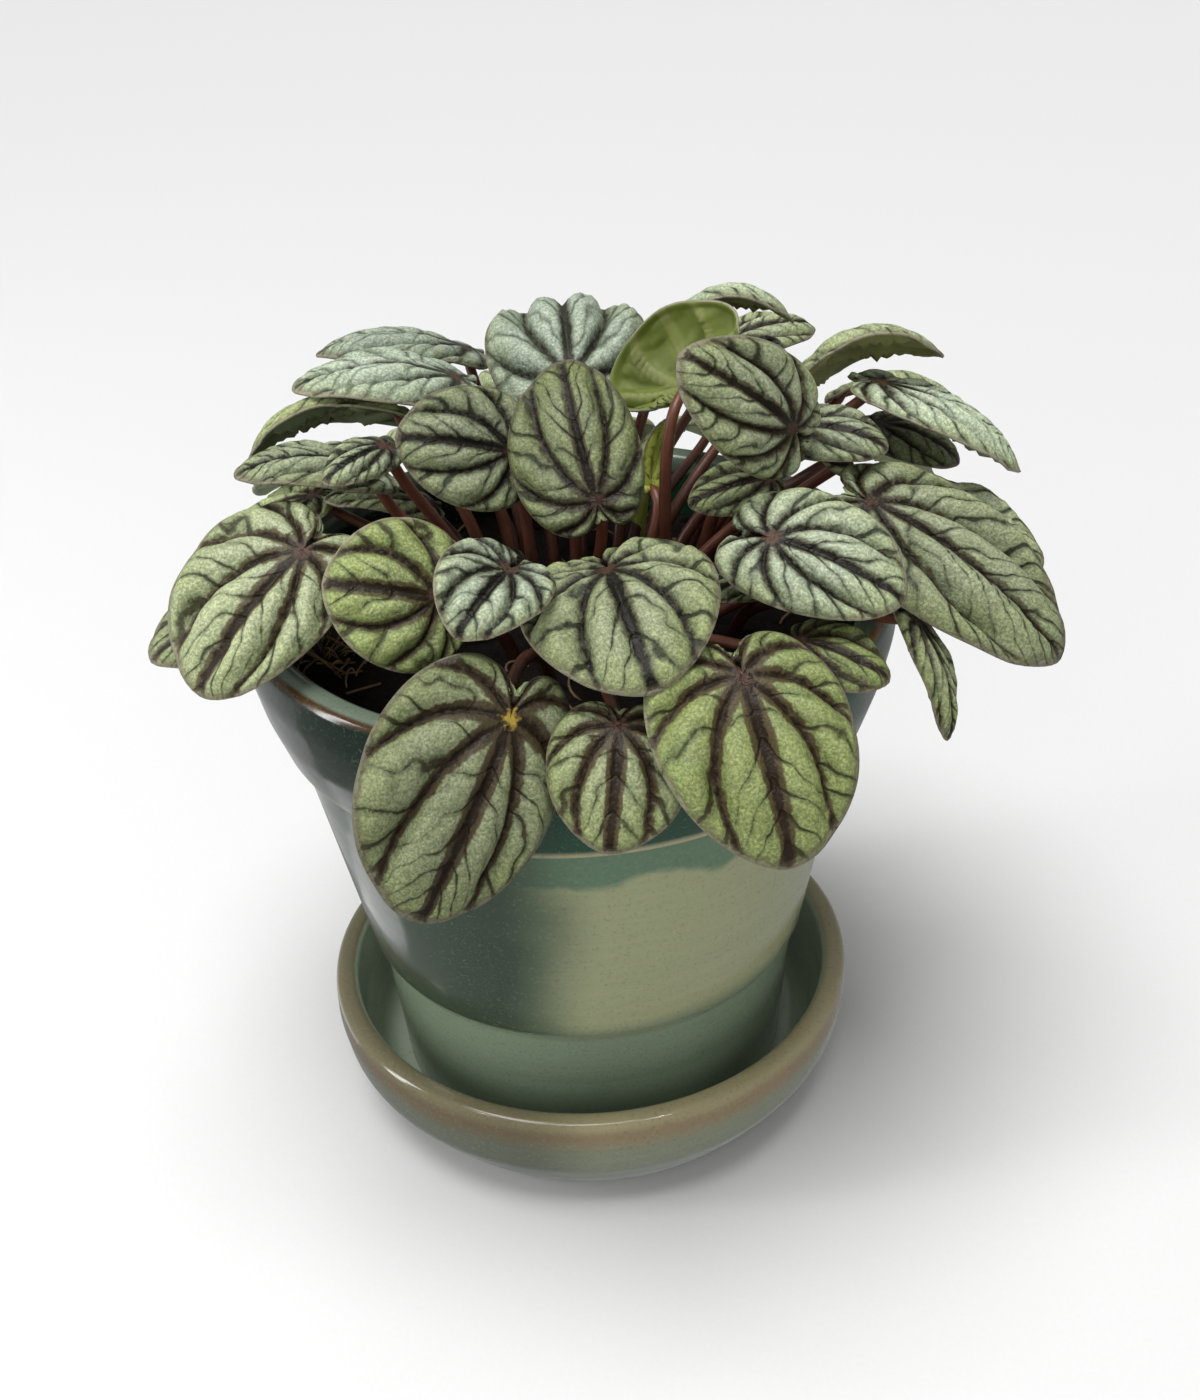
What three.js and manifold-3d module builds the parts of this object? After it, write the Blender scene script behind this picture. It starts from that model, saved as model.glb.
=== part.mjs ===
// Ripple peperomia in a glazed pot that stands in its own saucer.
// Millimetres, +Z up. The origin is the centre of the saucer's flat base, and -Y is the front.
import * as THREE from "three";
import { mergeVertices } from "three/addons/utils/BufferGeometryUtils.js";
import Module from "manifold-3d";

const wasm = await Module();
wasm.setup();

// ---------------------------------------------------------------- driving dimensions

const ROUND_SIDES = 40; // facets round the pot, the saucer and the soil
const FIT_GAP = 0.3; // clearance between pieces that touch

const SAUCER_FLOOR = 6; // thickness of the saucer's floor
const SAUCER_HEIGHT = 28;
const SAUCER_RIM_RADIUS = 58.5;
const SAUCER_BASE_RADIUS = 45;

const POT_HEIGHT = 118; // from the pot's own foot to its lip
const LIP_Z = SAUCER_FLOOR + POT_HEIGHT;
const LIP_RADIUS = 64;
const COLLAR_RADIUS = 66; // the widest place of the collar
const COLLAR_DEPTH = 26.5; // from the lip down to the collar's lower edge
const BODY_TOP_RADIUS = 58.6;
const SHOULDER_Z = 43; // the small step above the foot
const SHOULDER_RADIUS = 48.5;
const FOOT_RADIUS = 43.5;
const DRAIN_RADIUS = 7;
const POT_FLOOR = 7;

const SOIL_Z = 112; // top of the potting mix at the wall
const SOIL_CROWN = 2; // how much higher the mix is in the middle
const CROWN_RADIUS = 5;
const CROWN_HEIGHT = 7; // of the short stem above the mix
const CROWN_DEPTH = 6; // of the short stem in the mix
const CROWN_SIDES = 12;

const BLADE_THICKNESS = 1.5;
const BLADE_SPOKES = 14; // facets round a blade
const BLADE_RINGS = [0.55, 1]; // shares of the way from stalk to margin
const SINUS_DEG = 171; // half the angle that a blade covers round its stalk
const STALK_RADIUS = 1.3;
const STALK_SIDES = 5;
const STALK_STEPS = 5;
const STALK_DEPTH = 5; // of a stalk's foot in the mix
const FEET_SPREAD = 6; // from the middle of the pot to the nearest feet
const FEET_SHARE = 0.3; // how much of a leaf's own distance is added to that
const STALK_RISE = 0.5; // share of its reach over which a stalk rises straight
const STALK_BEND = 0.3; // share of its reach over which it meets the blade squarely
const STALK_SWEEP = 0.08; // share of its reach over which it comes from behind the blade
const SOCKET_GAP = 0.5; // round a stalk where it enters the mix

// ---------------------------------------------------------------- the leaves

// at: where the stalk meets the blade. tip: the blade's point. up: the way its upper face looks.
// arch: rise of the midrib over its length. droop: fall of the margins over half the width.
// fold: slope of each half away from the midrib. skew: how far one half is set towards the tip.
// lean: how much wider one half is than the other. taper: large for a round tip, in degrees.
// notch: small for deep lobes behind the stalk. foot: where the stalk leaves the mix, if not by rule.
const LEAVES = [
  // front, hanging over the lip
  {
    name: "leaf_front_left", at: [-11, -67, 132], tip: [-29, -80, 100], up: [3, -8, 4], width: 35,
    skew: -0.05, lean: -0.18, taper: 64, notch: 0.6,
  },
  {
    name: "leaf_front_middle", at: [7, -68, 130], tip: [4, -81, 113], up: [0, -8, 5], width: 25,
    lean: 0.05, notch: 0.6, foot: [0, -22],
  },
  {
    name: "leaf_front_right", at: [28, -66, 137], tip: [34, -83, 109], up: [2, -9, 5], width: 35,
    skew: 0.1, lean: -0.04, droop: 0.08, taper: 46, notch: 0.5,
  },
  {
    name: "leaf_front_centre", at: [7, -46, 148], tip: [13, -70, 137], up: [-1, -4, 9], width: 35,
    arch: 0.12, droop: 0.1, notch: 0.2,
  },
  {
    name: "leaf_front_folded", at: [-10, -50, 151], tip: [-19, -62, 145], up: [1, -4, 8], width: 20,
    fold: 0.4, notch: 0.2, foot: [-5, -17],
  },
  {
    name: "leaf_front_round", at: [-24, -32, 137], tip: [-44, -35, 143], up: [0, -8, 6], width: 29,
    taper: 60, notch: 0.15,
  },
  // left
  {
    name: "leaf_left_outer", at: [-48, -26, 145], tip: [-68, -42, 125], up: [-2, -7, 7], width: 33,
    lean: -0.18, taper: 58, notch: 0.4, foot: [-18, -7],
  },
  { name: "leaf_left_under", at: [-54, -10, 130], tip: [-79, -28, 125], up: [-2, -5, 9], width: 22 },
  {
    name: "leaf_left_upper", at: [-9, -14, 157], tip: [-30, -16, 162], up: [0, -8, 6], width: 24,
    taper: 58, notch: 0.35,
  },
  { name: "leaf_left_level", at: [-36, -2, 150], tip: [-61, -12, 155], up: [1, 0, 9], width: 20 },
  { name: "leaf_left_small", at: [-32, -13, 159], tip: [-43, -23, 157], up: [-2, -6, 8], width: 11 },
  {
    name: "leaf_left_low", at: [-28, 18, 133], tip: [-49, 14, 137], up: [0, 0, 9], width: 15,
    foot: [-19, 12],
  },
  {
    name: "leaf_left_turned", at: [-33, 18, 154], tip: [-63, 12, 147], up: [0, 5, 9], width: 26,
    arch: 0.2,
  },
  { name: "leaf_left_long", at: [-20, 18, 160], tip: [-52, 12, 162], up: [0, 0, 9], width: 26 },
  { name: "leaf_left_back", at: [-19, 45, 156], tip: [-50, 38, 159], up: [0, 1, 9], width: 22 },
  // middle and top
  {
    name: "leaf_mid_upright", at: [6, -27, 152], tip: [1, -7, 172], up: [-1, -9, 4], width: 25,
    lean: 0.15, taper: 56,
  },
  {
    name: "leaf_mid_inner", at: [39, -13, 148], tip: [23, -18, 146], up: [0, -5, 8], width: 13,
    foot: [17, -7],
  },
  {
    name: "leaf_mid_young", at: [17, 4, 140], tip: [22, 10, 152], up: [-2, 8, 4], width: 9,
    foot: [12, -2],
  },
  {
    name: "leaf_mid_bud", at: [-8, -17, 135], tip: [-16, -21, 138], up: [0, -6, 8], width: 9,
    foot: [-3, -14],
  },
  { name: "leaf_top_centre", at: [3, 18, 158], tip: [2, 50, 161], up: [0, -2, 9], width: 34, arch: 0.24 },
  {
    name: "leaf_top_turned", at: [26, 5, 160], tip: [21, 14, 173], up: [2, 9, 3], width: 33,
    arch: 0.2, droop: 0.3, notch: 1.1, foot: [20, -3],
  },
  { name: "leaf_top_crest", at: [25, 42, 160], tip: [51, 36, 161], up: [0, 4, 9], width: 24, arch: 0.25 },
  { name: "leaf_top_behind", at: [39, 28, 149], tip: [47, 42, 156], up: [0, -5, 8], width: 13 },
  {
    name: "leaf_top_far", at: [38, 56, 150], tip: [59, 62, 150], up: [0, -1, 9], width: 18,
    foot: [13, 20],
  },
  // right
  {
    name: "leaf_right_upper", at: [43, -16, 159], tip: [22, -24, 178], up: [0, -8, 6], width: 24,
    skew: 0.2, notch: 0.2, foot: [25, -1],
  },
  {
    name: "leaf_right_cupped", at: [46, 0, 153], tip: [63, -7, 150], up: [1, -4, 9], width: 16,
    foot: [24, 4],
  },
  {
    name: "leaf_right_front", at: [37, -32, 145], tip: [60, -42, 136], up: [1, -6, 8], width: 27,
    lean: 0.1, notch: 0.2,
  },
  {
    name: "leaf_right_large", at: [58, -15, 143], tip: [93, -32, 116], up: [4, -6, 8], width: 33,
    droop: 0.14,
  },
  {
    name: "leaf_right_behind", at: [69, 4, 135], tip: [95, -8, 123], up: [4, -4, 9], width: 24,
    foot: [32, 3],
  },
  {
    name: "leaf_right_hanging", at: [64, -33, 127], tip: [69, -46, 108], up: [7, -6, 0], width: 13,
    foot: [32, -9],
  },
  { name: "leaf_right_rim", at: [41, -43, 130], tip: [56, -51, 125], up: [1, -3, 9], width: 17 },
  {
    name: "leaf_right_inner", at: [38, -15, 128], tip: [26, -21, 128], up: [0, -3, 9], width: 10,
    foot: [21, -11],
  },
  {
    name: "leaf_right_small", at: [57, 2, 144], tip: [50, -2, 148], up: [0, -6, 6], width: 8,
    foot: [28, -1],
  },
  {
    name: "leaf_right_turned", at: [48, 22, 153], tip: [79, 20, 158], up: [0, 5, 8], width: 26,
    arch: 0.22,
  },
  {
    name: "leaf_right_edge", at: [65, 14, 155], tip: [94, 10, 136], up: [4, 0, 8], width: 24,
    foot: [28, 9],
  },
  {
    name: "leaf_right_shade", at: [67, 26, 141], tip: [84, 20, 134], up: [2, -2, 9], width: 18,
    foot: [30, 12],
  },
  {
    name: "leaf_right_brown", at: [64, 46, 142], tip: [89, 40, 135], up: [2, 4, 8], width: 18,
    arch: 0.2, foot: [24, 17],
  },
  // back, hanging over the lip
  { name: "leaf_back_left", at: [-44, 38, 138], tip: [-68, 52, 122], up: [-5, 5, 8], width: 28 },
  { name: "leaf_back_mid_left", at: [-24, 56, 134], tip: [-32, 84, 116], up: [-2, 6, 8], width: 30 },
  { name: "leaf_back_middle", at: [8, 64, 130], tip: [8, 84, 106], up: [0, 8, 6], width: 32 },
  {
    name: "leaf_back_mid_right", at: [36, 60, 130], tip: [50, 82, 110], up: [3, 6, 8], width: 28,
    foot: [17, 29],
  },
  {
    name: "leaf_back_right", at: [62, 44, 134], tip: [84, 58, 112], up: [5, 4, 8], width: 28,
    foot: [29, 24],
  },
  { name: "leaf_back_upper", at: [-6, 50, 144], tip: [-8, 76, 138], up: [0, 3, 9], width: 24 },
  { name: "leaf_back_side", at: [-52, 22, 134], tip: [-78, 32, 116], up: [-7, 2, 7], width: 28 },
];

const DEFAULT_FORM = { arch: 0.1, droop: 0.18, fold: 0, skew: 0, lean: 0, taper: 50, notch: 0.8 };

const vector = (p) => new THREE.Vector3(p[0], p[1], p[2]);

// The blade's own axes: along the midrib, across it, and out of its upper face.
function bladeAxes(leaf) {
  const along = vector(leaf.tip).sub(vector(leaf.at));
  const length = along.length();
  along.normalize();
  const up = vector(leaf.up);
  up.addScaledVector(along, -up.dot(along)).normalize();
  const across = new THREE.Vector3().crossVectors(up, along);
  return { along, across, up, length };
}

// A heart shape round the stalk: the reach of the margin over the blade's length, at an angle from the tip.
function heartReach(angle, form) {
  const lobes = Math.pow(Math.cos(angle / 2), form.notch);
  const fromTip = Math.abs(THREE.MathUtils.radToDeg(angle)) / form.taper;
  return (lobes + Math.exp(-Math.pow(fromTip, 1.5))) / 2;
}

// The heart's half width over its length, before the blade is stretched to its own width.
function heartHalfWidth(form) {
  let widest = 0;
  for (let angle = 0; angle < Math.PI; angle += 0.02) {
    widest = Math.max(widest, heartReach(angle, form) * Math.sin(angle));
  }
  return widest;
}

// A point of the blade's middle surface, in world space.
function bladePoint(leaf, axes, angle, share) {
  const form = { ...DEFAULT_FORM, ...leaf };
  const reach = share * heartReach(angle, form);
  const half = leaf.width / 2;
  const widen = (1 + Math.sign(angle) * form.lean) / heartHalfWidth(form);
  const y = reach * Math.sin(angle) * half * widen;
  const x = reach * Math.cos(angle) * axes.length + form.skew * y;
  const along = x / axes.length;
  const rise = 4 * form.arch * axes.length * along * (1 - along);
  const fall = (form.droop * y * y) / half;
  const z = rise - fall + form.fold * Math.abs(y);
  return vector(leaf.at)
    .addScaledVector(axes.along, x)
    .addScaledVector(axes.across, y)
    .addScaledVector(axes.up, z);
}

// ---------------------------------------------------------------- solids

function geometryOf(vertices, triangles) {
  const geometry = new THREE.BufferGeometry();
  geometry.setAttribute("position", new THREE.Float32BufferAttribute(vertices, 3));
  geometry.setIndex(triangles);
  return geometry;
}

function solidFrom(geometry) {
  const bare = geometry.clone();
  bare.deleteAttribute("normal");
  bare.deleteAttribute("uv");
  const merged = mergeVertices(bare, 1e-4);
  return new wasm.Manifold(
    new wasm.Mesh({
      numProp: 3,
      vertProperties: new Float32Array(merged.attributes.position.array),
      triVerts: new Uint32Array(merged.index.array),
    }),
  );
}

function geometryFrom(solid) {
  const mesh = solid.getMesh();
  const vertices = [];
  for (let i = 0; i < mesh.numVert; i++) {
    const start = i * mesh.numProp;
    vertices.push(...mesh.vertProperties.subarray(start, start + 3));
  }
  return geometryOf(vertices, Array.from(mesh.triVerts));
}

// A closed solid of revolution about Z from [radius, height] pairs, listed with the solid on their left.
function turned(profile) {
  const points = profile.map(([radius, height]) => new THREE.Vector2(radius, height));
  return new THREE.LatheGeometry(points, ROUND_SIDES).rotateX(Math.PI / 2);
}

// The blade as one closed solid: an upper and a lower skin round the stalk, and a wall along the margin.
function bladeGeometry(leaf) {
  const axes = bladeAxes(leaf);
  const sinus = THREE.MathUtils.degToRad(SINUS_DEG);
  const vertices = [];
  const triangles = [];
  const ringSize = BLADE_SPOKES + 1;
  const skinSize = 1 + ringSize * BLADE_RINGS.length;
  for (const side of [1, -1]) {
    const lift = axes.up.clone().multiplyScalar((side * BLADE_THICKNESS) / 2);
    vertices.push(...vector(leaf.at).add(lift).toArray());
    for (const share of BLADE_RINGS) {
      for (let spoke = 0; spoke < ringSize; spoke++) {
        const angle = sinus * ((2 * spoke) / BLADE_SPOKES - 1);
        vertices.push(...bladePoint(leaf, axes, angle, share).add(lift).toArray());
      }
    }
  }
  const top = (ring, spoke) => (ring < 0 ? 0 : 1 + ring * ringSize + spoke);
  const bottom = (ring, spoke) => skinSize + top(ring, spoke);
  const rim = BLADE_RINGS.length - 1;
  for (let spoke = 0; spoke < BLADE_SPOKES; spoke++) {
    triangles.push(top(-1), top(0, spoke), top(0, spoke + 1));
    triangles.push(bottom(-1), bottom(0, spoke + 1), bottom(0, spoke));
    const next = spoke + 1;
    for (let ring = 0; ring < rim; ring++) {
      const outer = ring + 1;
      quad(triangles, top(ring, spoke), top(outer, spoke), top(outer, next), top(ring, next));
      quad(triangles, bottom(ring, next), bottom(outer, next), bottom(outer, spoke), bottom(ring, spoke));
    }
    quad(triangles, top(rim, spoke), bottom(rim, spoke), bottom(rim, next), top(rim, next));
  }
  for (let ring = -1; ring < rim; ring++) {
    quad(triangles, top(ring, 0), bottom(ring, 0), bottom(ring + 1, 0), top(ring + 1, 0));
    const last = BLADE_SPOKES;
    quad(triangles, bottom(ring, last), top(ring, last), top(ring + 1, last), bottom(ring + 1, last));
  }
  return geometryOf(vertices, triangles);
}

function quad(triangles, a, b, c, d) {
  triangles.push(a, b, c, a, c, d);
}

// Where a stalk leaves the mix: on its leaf's own side, nearer the middle than the leaf.
function stalkFoot(leaf) {
  const [x, y] = leaf.at;
  const out = Math.hypot(x, y);
  const share = FEET_SPREAD / out + FEET_SHARE;
  const foot = leaf.foot ?? [x * share, y * share];
  return new THREE.Vector3(foot[0], foot[1], SOIL_Z - STALK_DEPTH);
}

// A stalk rises from the mix, leans out, and meets the blade from below.
function stalkCurve(leaf) {
  const axes = bladeAxes(leaf);
  const foot = stalkFoot(leaf);
  const top = vector(leaf.at);
  const reach = foot.distanceTo(top);
  const rising = foot.clone().add(new THREE.Vector3(0, 0, STALK_RISE * reach));
  const meeting = top
    .clone()
    .addScaledVector(axes.up, -STALK_BEND * reach)
    .addScaledVector(axes.along, -STALK_SWEEP * reach);
  return new THREE.CubicBezierCurve3(foot, rising, meeting, top);
}

function polygonShape(radius, sides) {
  const corners = [];
  for (let i = 0; i < sides; i++) {
    const angle = (2 * Math.PI * i) / sides;
    corners.push(new THREE.Vector2(radius * Math.cos(angle), radius * Math.sin(angle)));
  }
  return new THREE.Shape(corners);
}

function stalkGeometry(leaf, radius) {
  return new THREE.ExtrudeGeometry(polygonShape(radius, STALK_SIDES), {
    steps: STALK_STEPS,
    extrudePath: stalkCurve(leaf),
    bevelEnabled: false,
  });
}

function leafGeometry(leaf) {
  const blade = solidFrom(bladeGeometry(leaf));
  const stalk = solidFrom(stalkGeometry(leaf, STALK_RADIUS));
  return geometryFrom(blade.add(stalk));
}

// ---------------------------------------------------------------- pot, saucer, mix and crown

function potGeometry() {
  const collarFoot = LIP_Z - COLLAR_DEPTH;
  return turned([
    [DRAIN_RADIUS, SAUCER_FLOOR + 2],
    [FOOT_RADIUS - 8.5, SAUCER_FLOOR + 2],
    [FOOT_RADIUS - 7, SAUCER_FLOOR],
    [FOOT_RADIUS - 1, SAUCER_FLOOR],
    [FOOT_RADIUS, SAUCER_FLOOR + 1],
    [SHOULDER_RADIUS - 2, SHOULDER_Z - 2],
    [SHOULDER_RADIUS - 1, SHOULDER_Z - 1],
    [SHOULDER_RADIUS, SHOULDER_Z + 1],
    [BODY_TOP_RADIUS, collarFoot - 1],
    [BODY_TOP_RADIUS + 1.4, collarFoot],
    [BODY_TOP_RADIUS + 2.6, collarFoot + 1.5],
    [COLLAR_RADIUS - 2.2, collarFoot + 9],
    [COLLAR_RADIUS - 0.5, collarFoot + 16],
    [COLLAR_RADIUS, collarFoot + 21],
    [COLLAR_RADIUS - 0.7, LIP_Z - 1.8],
    [LIP_RADIUS, LIP_Z],
    [LIP_RADIUS - 2.5, LIP_Z],
    [LIP_RADIUS - 4.2, LIP_Z - 1.4],
    ...potInside(0),
    [DRAIN_RADIUS, SAUCER_FLOOR + POT_FLOOR],
    [DRAIN_RADIUS, SAUCER_FLOOR + 2],
  ]);
}

// The pot's inner wall, from the lip down to the floor, moved inwards by a clearance.
function potInside(clearance) {
  return [
    [LIP_RADIUS - 4.8 - clearance, LIP_Z - 4],
    [BODY_TOP_RADIUS - 2 - clearance, SOIL_Z],
    [BODY_TOP_RADIUS - 5 - clearance, LIP_Z - COLLAR_DEPTH],
    [SHOULDER_RADIUS - 5 - clearance, SHOULDER_Z],
    [FOOT_RADIUS - 4 - clearance, SAUCER_FLOOR + POT_FLOOR + 6 + clearance],
    [FOOT_RADIUS - 8 - clearance, SAUCER_FLOOR + POT_FLOOR + clearance],
  ];
}

function saucerGeometry() {
  return turned([
    [0, 0],
    [SAUCER_BASE_RADIUS, 0],
    [SAUCER_BASE_RADIUS + 4, 1.2],
    [SAUCER_RIM_RADIUS - 4.5, 6.5],
    [SAUCER_RIM_RADIUS - 1.4, 13.5],
    [SAUCER_RIM_RADIUS, 21],
    [SAUCER_RIM_RADIUS - 0.1, SAUCER_HEIGHT - 3],
    [SAUCER_RIM_RADIUS - 1.1, SAUCER_HEIGHT - 0.7],
    [SAUCER_RIM_RADIUS - 2.4, SAUCER_HEIGHT],
    [SAUCER_RIM_RADIUS - 3.4, SAUCER_HEIGHT],
    [SAUCER_RIM_RADIUS - 4.7, SAUCER_HEIGHT - 0.9],
    [SAUCER_RIM_RADIUS - 5.3, SAUCER_HEIGHT - 3],
    [SAUCER_RIM_RADIUS - 6, 18],
    [SAUCER_RIM_RADIUS - 7.5, 12],
    [SAUCER_BASE_RADIUS + 3.5, 7.6],
    [SAUCER_BASE_RADIUS + 1, SAUCER_FLOOR],
    [0, SAUCER_FLOOR],
  ]);
}

// The potting mix fills the pot up to SOIL_Z. Each stalk and the crown stand in a socket of their own.
function soilGeometry() {
  const wall = potInside(FIT_GAP).slice(1);
  const [wallRadius] = wall[0];
  const body = turned([
    [0, SAUCER_FLOOR + POT_FLOOR + FIT_GAP],
    ...wall.reverse(),
    [wallRadius * 0.6, SOIL_Z + SOIL_CROWN * 0.7],
    [0, SOIL_Z + SOIL_CROWN],
  ]);
  let solid = solidFrom(body);
  const socketRadius = STALK_RADIUS + SOCKET_GAP;
  const sockets = LEAVES.map((leaf) => stalkGeometry(leaf, socketRadius).translate(0, 0, -FIT_GAP));
  const holeRadius = CROWN_RADIUS + FIT_GAP;
  const crownHole = new THREE.CylinderGeometry(holeRadius, holeRadius, 2 * CROWN_DEPTH, CROWN_SIDES);
  sockets.push(crownHole.rotateX(Math.PI / 2).translate(0, 0, SOIL_Z - FIT_GAP));
  for (const hole of sockets) solid = solid.subtract(solidFrom(hole));
  return geometryFrom(solid);
}

// The short, thick stem that the stalks crowd round.
function crownGeometry() {
  const foot = SOIL_Z - CROWN_DEPTH;
  const top = SOIL_Z + CROWN_HEIGHT;
  const points = [
    [0, foot],
    [CROWN_RADIUS - 1, foot],
    [CROWN_RADIUS, foot + CROWN_DEPTH],
    [CROWN_RADIUS - 0.6, top - 2.5],
    [CROWN_RADIUS - 2.4, top - 0.6],
    [0, top],
  ].map(([radius, height]) => new THREE.Vector2(radius, height));
  return new THREE.LatheGeometry(points, CROWN_SIDES).rotateX(Math.PI / 2);
}

// ---------------------------------------------------------------- materials and assembly

const MATERIALS = {
  pot_glaze: { color: 0x4f6f66, roughness: 0.22 },
  saucer_glaze: { color: 0x6d7765, roughness: 0.22 },
  potting_mix: { color: 0x1c1611, roughness: 1 },
  crown_bark: { color: 0x5a3a28, roughness: 0.8 },
  leaf: { color: 0x7c9770, roughness: 0.5 },
};

function piece(name, geometry, finish) {
  geometry.computeVertexNormals();
  const material = new THREE.MeshStandardMaterial({ metalness: 0, ...MATERIALS[finish] });
  const mesh = new THREE.Mesh(geometry, material);
  mesh.name = name;
  return mesh;
}

const plant = new THREE.Group();
for (const leaf of LEAVES) plant.add(piece(leaf.name, leafGeometry(leaf), "leaf"));
plant.add(piece("crown", crownGeometry(), "crown_bark"));

const part = new THREE.Group();
part.add(piece("saucer", saucerGeometry(), "saucer_glaze"));
part.add(piece("pot", potGeometry(), "pot_glaze"));
part.add(piece("potting_mix", soilGeometry(), "potting_mix"));
part.add(plant);

export default part;
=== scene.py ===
"""Ripple peperomia in a glazed pot on its own saucer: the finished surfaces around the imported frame."""

import math
import random
from functools import partial

import bmesh
import bpy
from bpy.props import FloatProperty, FloatVectorProperty, IntProperty, PointerProperty
from bpy.types import Operator, Panel, PropertyGroup
from mathutils import Matrix, Vector, noise
from mathutils.geometry import interpolate_bezier


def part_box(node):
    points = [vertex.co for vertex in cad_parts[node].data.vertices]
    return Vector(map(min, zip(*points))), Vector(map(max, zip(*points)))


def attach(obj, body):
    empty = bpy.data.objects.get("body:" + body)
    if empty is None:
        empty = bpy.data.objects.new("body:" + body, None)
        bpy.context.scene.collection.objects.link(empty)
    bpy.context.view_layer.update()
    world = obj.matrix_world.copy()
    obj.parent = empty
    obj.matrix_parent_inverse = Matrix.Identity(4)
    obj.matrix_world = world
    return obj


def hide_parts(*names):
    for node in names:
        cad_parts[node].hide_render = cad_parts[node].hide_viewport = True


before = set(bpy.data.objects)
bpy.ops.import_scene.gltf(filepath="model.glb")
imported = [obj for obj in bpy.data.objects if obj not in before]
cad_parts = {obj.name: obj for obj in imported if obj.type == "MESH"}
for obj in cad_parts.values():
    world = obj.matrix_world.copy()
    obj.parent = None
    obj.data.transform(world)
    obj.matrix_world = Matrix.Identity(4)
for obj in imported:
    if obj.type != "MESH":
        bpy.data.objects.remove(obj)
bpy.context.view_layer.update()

bl_info = {
    "name": "Potted Ripple Peperomia",
    "version": (1, 0, 0),
    "blender": (4, 5, 0),
    "location": "View3D > Sidebar > Peperomia",
    "description": "A ripple peperomia with quilted leaves, in a glazed pot on its saucer",
    "category": "Add Mesh",
}

MM = 0.001


def linear(hex_colour):
    """An sRGB hex colour as linear RGBA."""
    channels = [int(hex_colour[i : i + 2], 16) / 255 for i in (0, 2, 4)]
    return [c / 12.92 if c <= 0.04045 else ((c + 0.055) / 1.055) ** 2.4 for c in channels] + [1.0]


# ---------------------------------------------------------------- sizes taken from the frame, in mm

SAUCER_RIM_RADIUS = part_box("saucer")[1].x / MM
SAUCER_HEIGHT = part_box("saucer")[1].z / MM
SAUCER_FLOOR = 6  # thickness of the saucer's floor, on which the pot's foot ring stands
SAUCER_BASE_RADIUS = 45  # where the saucer stands on the table
LIP_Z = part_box("pot")[1].z / MM
COLLAR_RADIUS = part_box("pot")[1].x / MM
LIP_RADIUS = COLLAR_RADIUS - 2  # the collar draws in a little up to the lip
COLLAR_DEPTH = 26.5  # from the lip down to the collar's lower edge
COLLAR_FOOT_Z = LIP_Z - COLLAR_DEPTH
BODY_TOP_RADIUS = 58.6  # the wall just under the collar
SHOULDER_Z = 43  # the small step above the foot
SHOULDER_RADIUS = 48.5
FOOT_RADIUS = 43.5
DRAIN_RADIUS = 7
POT_FLOOR = 7  # thickness of the pot's floor
SOIL_Z = 112  # top of the potting mix at the wall
SOIL_CROWN = 2  # how much higher the mix is in the middle
SOIL_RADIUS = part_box("potting_mix")[1].x / MM
CROWN_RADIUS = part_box("crown")[1].x / MM
CROWN_TOP_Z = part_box("crown")[1].z / MM
SINUS_DEG = 171  # half the angle that a blade covers round its stalk
VEIN_PULL_DEG = 34  # how far a main vein bends towards the tip on its way to the margin
SIDE_VEIN_SLANT = 0.85  # how far a side vein runs forward for each mm that it runs aside

# ---------------------------------------------------------------- the leaves

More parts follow.
